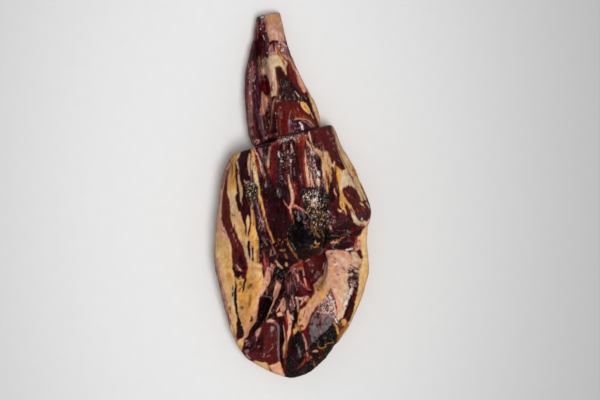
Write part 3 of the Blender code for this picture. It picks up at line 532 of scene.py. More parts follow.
# The block between the slit and the ledge, from the left to the right and down to the charred hollow.
BLOCK_MARKS = (
    ("whole body", "wine", 2.0, ((205, 115), (385, 115), (385, 385), (205, 385))),
    ("left triangle", "violet", 1.0, (
        (253, 144), (262, 140), (271, 137), (270, 150), (269, 158), (266, 170), (262, 168), (258, 158),
    )),
    ("left triangle sheen", "mauve", 1.6, ((259, 148, 0.6), (262, 154, 1.4), (264, 161, 1.4)), 0.55, 3.0),
    ("left triangle dark", "wine", 1.4, ((258, 145, 1), (265, 144, 2), (268, 150, 1)), 0.8, 3.0),
    ("left triangle bloom", "mauve", 0.8, ((260, 155), (266, 154), (267, 161), (262, 163)), 0.35, 1.4),
    ("pale gusset", "beige", 1.4, (
        (269.8, 147, 0.2), (268.4, 159, 0.8), (267.6, 163, 1.8), (267.4, 166.6, 1.4),
    )),
    ("pale gusset grey", "mauve", 0.9, ((269.2, 158, 0.5), (266.4, 162, 0.7), (266, 166, 0.7)), 0.7, 2.0),
    ("flame streak", "garnet", 1.0, (
        (265.4, 168), (270.4, 167), (271, 173), (273, 181), (276.4, 191), (271, 191), (267, 184),
        (264, 177),
    )),
    ("flame streak top", "flame", 1.2, (
        (266.2, 167, 1.2), (268.2, 170, 1.6), (268.4, 175, 1.4), (270, 181, 1.2), (274.6, 192, 0.3),
    )),
    ("flame streak core", "peach", 0.9, (
        (268, 172.6, 0.4), (268.8, 178, 0.8), (270.6, 183, 0.5),
    ), 0.8, 2.0),
    ("red panel", "garnet", 0.9, (
        (273, 137), (277, 135), (281, 141), (279, 148), (277.4, 154), (277, 166), (277.6, 186),
        (274.6, 187), (272, 176), (270.6, 160), (270.4, 148),
    )),
    ("red panel dark", "maroon", 1.4, ((275, 150, 1), (274.6, 162, 1.4), (275, 176, 1.2)), 0.7, 4.0),
    ("red panel stipple", "violet", 0.8, ((275, 146), (279, 146), (279, 190), (275, 190)), 0.35, 2.2),
    ("red panel edge", "rust", 0.7, ((273.4, 139.6, 0.4), (271.2, 146, 0.5), (270.8, 156, 0.4))),
    ("red panel corner", "flame", 0.8, (
        (277.4, 138.6, 0.8), (280.4, 141.6, 1.4), (282.4, 143.8, 0.7),
    ), 0.8, 1.4),
    ("seam white bright", "white", 0.5, ((281, 137), (290, 137), (288, 144), (283, 143)), 0.22, 0.9),
    ("seam stipple", "mauve", 0.5, ((278, 137), (306, 134), (306, 140), (290, 144), (279, 143)), 0.65, 0.8),
    ("seam salt", "white", 0.4, ((278, 137), (306, 134), (305, 138), (290, 142), (279, 142)), 0.16, 0.8),
    ("maroon panel", "wine", 0.8, (
        (280, 144), (288, 141), (294, 140), (296, 160), (299, 180), (302, 192), (296, 200), (284, 200),
        (277, 190), (278, 160),
    )),
    ("maroon panel red", "maroon", 1.4, (
        (283, 146, 1.6), (287, 150, 3), (289, 160, 3.4), (287, 172, 3.4), (289, 184, 2.8),
    ), 0.8, 4.0),
    ("maroon panel stipple", "mauve", 0.4, (
        (278, 144), (293, 142), (295, 170), (290, 180), (280, 184),
    ), 0.08, 0.7),
    # The salt and spots on the maroon panel are partly salt flecks and partly painted glints on the wet
    # lean.
    ("maroon panel salt", "white", 0.3, (
        (278, 149), (293, 148), (294, 166), (284, 170), (279, 160),
    ), 0.03, 0.6),
    ("maroon salt left", "white", 0.4, ((278.4, 151, 0.3), (278.6, 154, 0.5), (279.4, 156.6, 0.3))),
    ("maroon salt spot", "cream", 0.4, ((280.8, 161.2, 0.6), (282.2, 161.8, 0.5))),
    ("maroon salt middle", "silver", 0.4, ((287, 160.4, 0.4), (288.2, 158.8, 0.4))),
    ("maroon salt right", "white", 0.5, ((290.2, 159, 0.4), (291, 162, 0.6))),
    ("maroon salt low", "silver", 0.6, ((284.4, 181.4, 0.6), (286, 183.4, 0.7))),
    ("maroon salt lower", "silver", 0.6, ((282.4, 178.4, 0.6),)),
    ("maroon salt dull", "silver", 0.6, ((278.4, 194.4, 0.5), (280, 196, 0.7))),
    ("pale thread", "cream", 0.5, ((291, 144, 0.4), (293, 153, 0.3))),
    ("thread olive", "rust", 0.5, ((293.2, 153, 0.3), (294.6, 161, 0.4), (294.6, 172, 0.3)), 0.8, 2.0),
    ("thread salt", "silver", 0.4, ((294.2, 170, 0.3), (295.2, 175, 0.4)), 0.8, 1.0),
    ("deep red panel", "maroon", 0.9, (
        (296, 142), (300, 138), (306, 137), (304.4, 150), (304.4, 166), (306.4, 178), (308, 189),
        (300, 191), (298, 176), (296, 160),
    )),
    ("deep red dark", "wine", 1.4, (
        (297, 146, 0.6), (297.4, 160, 1.4), (299, 176, 2), (301, 188, 2.4),
    ), 0.8, 4.0),
    ("deep red spot", "white", 0.4, ((300.6, 176.4, 0.5),)),
    ("deep red thread", "mauve", 0.4, ((300.6, 178, 0.3), (302.2, 183, 0.4)), 0.9, 1.0),
    ("rust corner", "flame", 0.9, (
        (299, 137), (303, 135.6), (307, 137), (306.6, 140), (305, 142), (304, 149), (302.6, 149),
        (300.6, 142),
    )),
    ("rust corner dark", "garnet", 1.0, ((301, 140, 0.5), (302, 146, 1.2)), 0.8, 2.0),
    ("rust corner lens", "straw", 0.4, ((298, 137.6, 0.4), (298.7, 142, 0.4))),
    ("rust corner lens edge", "flame", 0.4, ((299.2, 142, 0.3), (299.6, 148, 0.3))),
    ("grey zone", "plum", 0.8, (
        (306, 143), (310, 146), (315, 150), (319, 160), (321, 172), (323, 190), (318, 194), (309, 189),
        (306, 170),
    )),
    ("grey zone stripes", "mauve", 0.7, (
        (306.8, 146, 0.4), (308.6, 153, 0.7), (310.4, 182, 0.8),
    ), 0.7, 2.4),
    # The silver stripes and pale bloom of the grey zone are painted glints.
    ("grey zone stripes right", "silver", 0.7, (
        (310.6, 152, 0.5), (313, 168, 1), (317, 186, 0.6),
    ), 0.7, 2.4),
    ("grey zone bloom", "blush", 0.5, (
        (307, 150), (315, 152), (317, 170), (318, 190), (310, 188), (307, 164),
    ), 0.2, 1.0),
    ("grey zone dark", "wine", 0.7, ((307.4, 147, 0.4), (307.8, 160, 0.3))),
    ("rust line", "flame", 0.9, ((303.8, 143, 0.3), (304.2, 168, 0.6), (306, 178, 0.6), (307, 187, 0.8))),
    ("orange edge", "peach", 0.7, ((305.2, 150, 0.2), (306, 166, 0.9), (308.6, 187, 0.6))),
    ("orange edge cream", "cream", 0.6, ((307, 163, 0.3), (308.6, 179, 0.7), (309.4, 184, 0.4))),
    ("beige corner", "beige", 0.8, ((306.4, 140.4, 0.5), (307.8, 142.6, 1.1), (308.8, 146, 0.7))),
    ("orange tongue", "peach", 0.7, ((310.4, 172, 0.3), (313, 187, 1.4))),
    ("orange tongue tip", "flame", 0.7, ((312.6, 185.6, 0.5), (313.2, 188.4, 0.5))),
    ("cream tongue", "cream", 0.5, ((310.8, 175, 0.3), (311.8, 182, 0.5)), 0.8, 1.5),
    ("white streak", "cream", 0.5, (
        (309, 130.6, 0.2), (309.2, 134, 0.9), (312.4, 144.4, 0.8), (314.6, 149, 0.5),
    )),
    ("white streak core", "flame", 0.7, ((310.6, 141.4, 0.3), (311.2, 144.4, 0.8), (311.8, 147, 0.4))),
    ("white streak peach", "peach", 0.6, ((309.6, 144.6, 0.5), (311.4, 148.8, 0.9))),
    # The white and silver clusters and dots in the grey zone are painted glints.
    ("white cluster", "blush", 0.5, ((311, 150), (315.4, 150.6), (315, 156), (312, 157)), 0.5, 1.0),
    ("white dot", "white", 0.4, ((314.3, 161, 0.6),)),
    ("white dot shade", "black", 0.4, ((312.6, 161, 0.6),)),
    ("dark streak", "wine", 0.9, ((316, 151, 0.6), (318, 157, 1.8), (318.6, 164, 2), (319.6, 171, 1))),
    ("dark streak low", "violet", 0.9, (
        (316, 170, 0.6), (320.6, 174, 1.6), (322.6, 184, 2), (323, 192, 1.6),
    )),
    ("low stipple", "mauve", 0.5, ((319, 172), (325, 176), (326, 192), (320, 192)), 0.35, 1.0),
    ("silver cluster", "white", 0.7, (
        (315.6, 166), (317.4, 170), (319.4, 173), (319.6, 178), (316.6, 176.4),
    ), 0.55, 1.3),
    ("cluster cream", "cream", 0.6, ((316.6, 179), (319.8, 180), (319.6, 185.4), (317, 184.6))),
    ("cluster white", "white", 0.4, ((317.4, 180.4, 0.5), (318.8, 182, 0.4))),
    ("cluster flame", "flame", 0.6, ((316.8, 185.8, 0.5), (318.4, 188.6, 0.7))),
    ("smooth panel", "maroon", 0.8, (
        (309, 128), (314, 124), (322, 123), (331, 122), (332.6, 131), (335, 138), (337, 146), (343, 162),
        (346.6, 171), (343, 172), (338, 168.4), (330.6, 157), (327, 152), (322, 151), (317, 149.4),
        (313, 146), (310.6, 136),
    )),
    ("smooth panel low", "wine", 2.4, ((334, 150, 1), (338, 158, 2), (342, 167, 1.6)), 0.6, 4.0),
    ("smooth panel dark", "wine", 1.4, ((312, 132, 0.8), (314, 141, 1.2), (319, 147.6, 1)), 0.6, 3.0),
    ("smooth panel glint", "mauve", 0.5, ((327, 131, 0.3), (328.8, 135, 0.5))),
    ("smooth panel flame", "flame", 0.5, ((330, 138, 0.3), (330.8, 141.4, 0.5))),
    ("smooth panel bloom", "mauve", 1.6, (
        (323.4, 146, 0.4), (325, 150.6, 1), (328, 156, 1), (329.6, 160, 0.6),
    ), 0.6, 2.4),
    ("smooth panel hairs", "mauve", 0.5, (
        (330, 134), (334, 138), (342, 160), (338, 162), (332, 146),
    ), 0.16, 1.2),
    ("panel wedge", "maroon", 0.6, ((330, 156, 0.6), (332, 160.6, 0.9), (333, 163.6, 0.4))),
    ("right rim", "straw", 0.8, (
        (331, 122), (338, 124), (342, 134), (346, 142), (359, 164), (370, 190), (375, 201), (368, 206),
        (364, 202), (360, 194), (355, 186), (348, 177), (345.4, 170), (337.2, 147), (335.2, 139),
        (332.8, 131),
    )),
    ("right rim cream", "beige", 2.0, ((334, 131, 0.8), (337, 139, 1.4), (348, 167, 1.6)), 0.8, 4.0),
    ("right rim outer", "amber", 1.6, ((346, 151, 0.5), (354, 168, 2.4), (368, 198, 1))),
    ("right rim ochre", "ochre", 1.8, ((348.6, 161, 0.5), (351, 167, 1.2), (355, 175, 1)), 0.8, 3.0),
    ("right rim line", "mauve", 0.6, ((331.8, 126, 0.5), (338, 148, 0.5), (346.4, 168, 0.5))),
    ("beige field", "cream", 1.2, (
        (342.6, 171), (346.4, 170), (351, 176), (356, 184), (353, 187), (346, 186), (342.6, 189),
        (341.6, 180),
    )),
    ("beige field right", "beige", 1.8, ((349, 172, 1), (354, 181, 1.6), (358, 190, 1))),
    ("beige field hairs", "mauve", 0.6, (
        (344, 170), (349, 171), (359, 188), (354, 190), (347, 180),
    ), 0.24, 1.6),
    ("tan field", "amber", 0.8, (
        (314, 148.6), (318, 149.6), (322, 152), (326, 152), (329, 156), (331, 162), (333.6, 166),
        (335, 172), (332.4, 174), (331, 168), (328, 176), (324, 178), (322.8, 172), (322.6, 163),
        (320, 157), (316.6, 153),
    )),
    ("tan field top", "beige", 1.6, (
        (314.6, 149.6, 0.8), (318, 152, 1.6), (321, 154, 1.2), (326.4, 153.6, 1.2),
    )),
    ("tan field tan", "beige", 1.8, ((326.4, 156, 1.6), (327.4, 163, 2.6), (329.4, 170, 1.6)), 0.85, 3.4),
    ("tan field ochre", "ochre", 1.0, ((319.8, 154, 0.5), (321.6, 156.4, 1), (323.6, 159, 0.6))),
    ("tan field hairs", "mauve", 0.6, ((320, 152), (330, 153), (333, 172), (324, 176)), 0.18, 1.8),
    ("tan field cream", "cream", 0.6, ((323, 161, 0.3), (322.9, 168, 0.8), (324.8, 182, 0.3))),
    ("tan flame", "flame", 0.8, ((325.4, 171, 0.4), (326.6, 175, 1), (328, 179.6, 0.7))),
    ("tan flame edge", "cream", 0.4, ((324.8, 173, 0.4), (326.2, 179.6, 0.4), (327.4, 181, 0.4))),
    ("tan peak", "cream", 0.7, ((334.4, 161.4, 0.5), (334, 164, 1.2), (333, 166, 1))),
    ("tan peak ochre", "ochre", 0.8, ((334.6, 164.4, 0.8), (336, 167.6, 1.2), (336.4, 170.6, 0.6))),
    ("right dark band", "maroon", 0.8, (
        (331.6, 167, 0.7), (333.6, 174, 1.8), (334.4, 194, 3), (334.6, 204, 3.6), (337, 214, 2.4),
    )),
    ("right dark band low", "wine", 1.4, ((331, 184, 1), (332.6, 196, 2.4), (331, 206, 2.2)), 0.8, 3.0),
    ("brown band", "brown", 0.7, ((329.4, 182, 0.5), (330, 200, 1.4))),
    ("brown band field", "beige", 1.4, ((330.4, 170, 0.8), (330.4, 176, 1.4), (330.6, 182, 0.6)), 0.7, 2.2),
    ("brown band tan", "ochre", 0.6, ((329.6, 176, 0.4), (329.4, 192, 0.3)), 0.6, 2.0),
    ("tan streak", "amber", 0.6, ((326.4, 180, 0.4), (327.2, 191, 1), (327.2, 194.6, 0.5))),
    ("tan streak grey", "silver", 0.5, ((325, 184, 0.4), (325.8, 191, 0.5)), 0.8, 1.5),
    ("yellow strand", "amber", 0.7, (
        (336.8, 166.6, 0.7), (338.8, 173, 1.8), (341.8, 194, 2), (342, 205, 2), (346.2, 214, 0.5),
    )),
    ("yellow strand edge", "cream", 0.8, ((340.4, 170, 0.5), (341.8, 177, 1), (341.4, 190, 0.8))),
    ("yellow strand gold", "gold", 0.9, ((337.4, 170, 1), (338.2, 174, 1.6), (338.6, 179.6, 1.1))),
    ("yellow strand shade", "ochre", 1.0, ((339.4, 190, 0.4), (341.4, 203, 0.8)), 0.8, 2.4),
    ("yellow arm", "amber", 0.7, (
        (342.6, 195, 1.4), (346.4, 200.6, 2.4), (349.4, 205.6, 2.2), (355, 212.6, 0.4),
    )),
    ("yellow arm cream", "cream", 0.6, ((350.6, 207, 0.4), (353.4, 211.4, 0.7))),
    ("yellow knot", "gold", 0.9, ((341.6, 203, 1.2), (344, 206, 1.2))),
    ("yellow knot brown", "ochre", 0.8, ((342, 205, 0.7), (342.8, 207.4, 0.9))),
    ("leg gap", "maroon", 0.6, ((347, 205, 0.4), (347.4, 209, 0.9), (350, 214, 1.2))),
    ("pale tail", "cream", 0.6, ((336.8, 208.8, 0.6), (339, 210.8, 1.2), (342.4, 213.2, 0.9))),
    ("pale tail hairs", "mauve", 0.5, ((343, 212), (346, 214), (347, 219), (344, 217)), 0.4, 1.0),
    ("orange splinter", "peach", 0.4, ((334, 189.4, 0.3), (334.8, 193, 0.6), (336.4, 195.8, 0.5))),
    ("orange splinter end", "flame", 0.5, ((336, 196.6, 0.5), (336.6, 199.4, 0.6))),
    ("dark oval", "maroon", 0.7, (
        (342.6, 190.4), (344.6, 187), (348, 185.4), (352, 187), (355.6, 190), (358.4, 194), (360.4, 199),
        (361, 206), (360, 211), (357.6, 214.4), (354.4, 211.6), (351, 205.4), (344.4, 196.4),
    )),
    ("dark oval shade", "wine", 1.4, (
        (347, 188, 0.8), (353, 193, 1.2), (357, 201, 1.2), (357, 210, 0.8),
    ), 0.5, 3.0),
    ("dark oval thread", "mauve", 0.5, ((345, 190.4, 0.3), (348.8, 195.4, 0.5))),
    ("dark oval flame", "rust", 1.0, ((351, 196, 0.5), (354.6, 200, 0.9), (357, 204, 0.5)), 0.8, 2.0),
    ("dark oval ember", "flame", 0.6, ((357.2, 209, 0.7), (358.2, 211.4, 0.5))),
    ("rim brown line", "brown", 0.7, ((354.6, 184.6, 0.4), (360, 192, 0.6), (365, 203, 0.6))),
    ("rim tan line", "beige", 0.8, (
        (351.6, 182.6, 0.4), (357, 188.4, 0.9), (360.8, 196, 1.4), (362.8, 202.6, 0.9),
    )),
    ("rim ochre", "ochre", 1.0, ((360, 184, 0.6), (368, 201, 0.6)), 0.8, 2.4),
    ("rim brown outer", "brown", 0.9, ((363.6, 192, 0.3), (369, 202, 0.7)), 0.8, 2.4),
    ("corner dark", "maroon", 0.8, (
        (361.4, 203), (366, 199.6), (370, 200), (375, 206), (376, 219), (369, 220), (364.6, 221.4),
        (360, 219), (357.6, 216), (360.4, 211),
    )),
    ("corner dark shade", "wine", 1.4, ((363, 209, 1), (366, 214, 1.8), (367, 218.6, 1)), 0.7, 3.0),
    ("corner white", "cream", 0.5, ((360.6, 203.2, 0.6), (364.6, 207, 0.5))),
    ("corner white nick", "maroon", 0.4, ((362.6, 203.2, 0.3), (364, 205.6, 0.4))),
    ("corner white right", "cream", 0.4, ((366.4, 202.6, 0.4), (368, 205, 0.6), (369.2, 208, 0.3))),
    ("corner thread", "mauve", 0.4, ((361.6, 207, 0.3), (366, 214.6, 0.3))),
    ("corner grey", "plum", 1.0, ((357, 215), (361, 213.4), (363, 217), (361, 220.6), (358, 219))),
    ("corner dot", "white", 0.5, ((361.4, 218.4, 0.6), (362.6, 219.6, 0.5))),
    ("corner cream", "cream", 0.9, (
        (350.6, 210), (353.6, 212.6), (358, 219.6), (361.4, 221.4), (366, 221), (369.6, 219.4), (374, 220),
        (373, 226.6), (363.6, 229.4), (355.4, 224), (351.4, 215),
    )),
    ("corner cream mauve", "mauve", 0.9, (
        (350.8, 208.6, 0.7), (352.4, 212.6, 1), (354.4, 216, 0.5),
    ), 0.7, 1.5),
    ("corner amber", "straw", 1.4, ((362, 225.4, 1.4), (366.6, 225, 1.8), (371, 223.6, 1.8))),
    ("mauve slope", "violet", 1.6, (
        (324, 204), (333, 204), (340, 213), (347, 219), (336, 226), (331, 229), (325, 222),
    )),
    ("mauve slope red", "maroon", 1.6, (
        (331, 200), (338, 206), (346, 214), (350, 219), (345, 221), (336, 218), (330, 210),
    ), 0.6, 3.0),
    ("mauve slope dark", "wine", 1.6, ((330, 204, 1.6), (339, 218, 1.6)), 0.7, 3.0),
    ("mauve slope stipple", "mauve", 0.6, (
        (324, 214), (330, 212), (336, 220), (331, 229), (325, 226),
    ), 0.24, 1.2),
    ("mauve slope salt", "white", 0.4, ((324, 206), (332, 210), (334, 226), (325, 224)), 0.08, 0.9),
    ("slope orange", "peach", 0.4, ((329.6, 226, 0.4), (331.4, 229, 0.6))),
    # The facet is a cut face turned from the light: its wine is dark lean in painted shade.
    ("facet", "wine", 0.6, (
        (332, 229), (336, 225.6), (341, 223), (347, 220.2), (352, 221.8), (361, 227.4), (366, 230),
        (361.4, 232), (353, 237.4), (347, 237.6), (341, 237), (336, 234),
    )),
    ("facet top line", "mauve", 0.5, ((335, 226.6, 0.3), (347, 220.6, 0.3)), 0.7, 1.5),
    ("crust", "crust", 2.4, (
        (301, 189), (309, 187), (317, 188), (325, 190), (329, 197), (328, 206), (326, 214), (327, 224),
        (330, 231), (330, 240), (318, 242), (304, 240), (299, 226), (301, 208),
    )),
    ("crust top plum", "plum", 1.6, (
        (303, 189, 1.2), (309, 190.6, 2), (316, 191.6, 2), (321, 190, 1.2),
    ), 0.6, 2.0),
    ("crust olive", "olive", 1.0, (
        (303, 196), (310, 198), (320, 206), (321, 220), (318, 230), (312, 232), (308, 222), (304, 208),
    ), 0.24, 1.4),
    ("crust ochre", "ochre", 0.7, ((308, 206), (322, 206), (322, 220), (318, 232), (310, 230)), 0.1, 1.1),
    ("crust plum", "brown", 1.0, ((302, 192), (326, 192), (328, 224), (316, 230), (303, 216)), 0.3, 1.8),
    ("crust squiggles wide", "beige", 0.4, (
        (303, 193), (320, 190), (326, 202), (325, 222), (314, 226), (306, 212),
    ), 0.06, 0.8),
    ("crust squiggles", "cream", 0.4, (
        (306, 193), (316, 191), (320, 198), (321, 208), (317, 217), (311, 215), (308, 204),
    ), 0.17, 0.8),
    # The white and silver spots on the crust are partly salt and partly painted glints.
    ("crust glints", "white", 0.3, ((309, 192), (318, 192), (321, 200), (317, 206), (310, 204)), 0.15, 0.8),
    ("crust spot", "white", 0.5, ((303.6, 196.6, 0.8),)),
    ("crust patch", "white", 0.6, ((314.8, 200, 0.8), (317.4, 195.8, 0.5)), 0.85, 1.2),
    ("crust cream spot", "cream", 0.5, ((312.2, 203, 0.5), (311.4, 205.2, 0.7))),
    ("crust right spot", "white", 0.4, ((322.6, 206.6, 0.5), (323.4, 205.4, 0.4))),
    ("crust low spot", "white", 0.5, ((321.8, 224.8, 0.7),)),
    ("crust low second", "white", 0.5, ((324.6, 226.4, 0.5),)),
    ("crust low grey", "silver", 0.6, ((328, 221.6, 0.7),)),
    ("crust amber low", "amber", 0.5, ((321.6, 219, 0.5), (324.4, 221, 0.5))),
    ("crust flame thread", "flame", 0.4, ((325.2, 199.4, 0.3), (329.6, 204, 0.3))),
    ("black dome", "black", 1.0, (
        (292.6, 213), (296, 210), (303, 210.6), (307, 214), (309.6, 221), (309, 230), (300, 234),
        (292, 230), (292.6, 220),
    )),
    ("black dome sheen", "plum", 1.4, ((297, 213.6, 1.4), (301, 213.6, 2), (304, 217, 1.4)), 0.75, 1.4),
    ("black dome bloom", "silver", 0.6, (
        (295, 211), (303, 211), (305, 218), (300, 221), (296, 218),
    ), 0.24, 1.1),
    ("dome ring", "silver", 0.6, (
        (307.6, 211, 0.3), (309.4, 216, 0.6), (312, 219.6, 0.5), (312.4, 225, 0.4),
    ), 0.6, 1.0),
    ("dome low", "plum", 0.7, ((303, 221), (310, 220), (311, 229), (305, 229)), 0.4, 1.3),
    ("dome gold", "ochre", 0.5, ((303.4, 221.6, 0.6), (305.4, 223, 0.5)), 0.8, 1.0),
    ("vein shade", "garnet", 1.4, (
        (290.6, 178, 0.8), (295.6, 186, 1.4), (298, 195, 1.8), (301, 204, 1.6),
    ), 0.8, 3.0),
    ("vein", "peach", 0.7, (
        (288.4, 175, 0.4), (289.2, 181, 0.9), (292.4, 194, 1.6), (292.6, 200, 1.4), (291, 206.4, 1.2),
    )),
    ("vein pale", "cream", 0.7, ((288.8, 181, 0.3), (292.4, 191, 0.7), (293.6, 196, 0.3))),
    ("vein fire", "flame", 1.2, ((292.6, 193, 0.6), (293.2, 199, 1.2), (291.6, 205, 1.2)), 0.7, 1.8),
    ("vein right edge", "flame", 0.6, ((291.4, 179, 0.4), (294.4, 187, 0.6), (296, 194, 0.5))),
    ("vein grey side", "plum", 0.9, ((287.6, 193, 0.6), (288.6, 199, 1), (288.4, 204, 0.7))),
    ("branch right", "peach", 0.7, (
        (290, 206, 0.9), (294.6, 205.6, 0.8), (299, 207.8, 0.5), (307.4, 213.4, 0.2),
    )),
    ("branch right fire", "flame", 0.8, ((292, 205.4, 0.8), (298, 208.2, 0.6), (304, 212, 0.4)), 0.8, 1.6),
    ("branch left", "rose", 0.6, ((283.4, 200, 0.4), (288.6, 208, 0.9))),
    ("branch left pale", "blush", 0.4, ((283.8, 200.6, 0.2), (288.6, 208, 0.3)), 0.8, 1.4),
    ("branch left red", "garnet", 1.0, ((284, 202.6, 0.5), (290, 217.6, 1.2), (292, 225, 0.8))),
    ("branch down", "peach", 0.7, ((289.6, 207, 0.9), (292.6, 219, 0.4))),
    ("branch down rust", "rust", 0.6, ((292, 214, 0.6), (294.2, 228, 0.5))),
    ("branch down ochre", "ochre", 0.5, ((293.2, 220, 0.3), (294.2, 230, 0.3))),
    ("charred field", "crust", 2.4, (
        (277, 214), (292, 222), (300, 231), (328, 234), (334, 240), (322, 254), (303, 262), (286, 270),
        (277, 262), (272, 244), (270, 226),
    )),
    ("charred black", "black", 3.0, (
        (284, 236), (296, 230), (324, 236), (320, 250), (302, 260), (288, 264),
    ), 0.75, 5.0),
    ("charred gold", "ochre", 0.5, (
        (276, 214), (284, 216), (290, 232), (292, 252), (282, 256), (276, 236),
    ), 0.05, 0.9),
    ("charred gold right", "ochre", 0.6, ((315.6, 231, 0.4), (317.4, 235, 0.6), (320.4, 238, 0.5))),
    ("charred gold far", "ochre", 0.6, ((321.6, 231.4, 0.4), (324.4, 236, 0.6)), 0.8, 1.4),
    ("charred flecks", "ochre", 0.5, ((308, 226), (326, 228), (326, 240), (312, 238)), 0.05, 1.0),
    ("charred tan", "beige", 0.5, ((314.4, 227.6, 0.5), (316, 229.4, 0.5))),
)

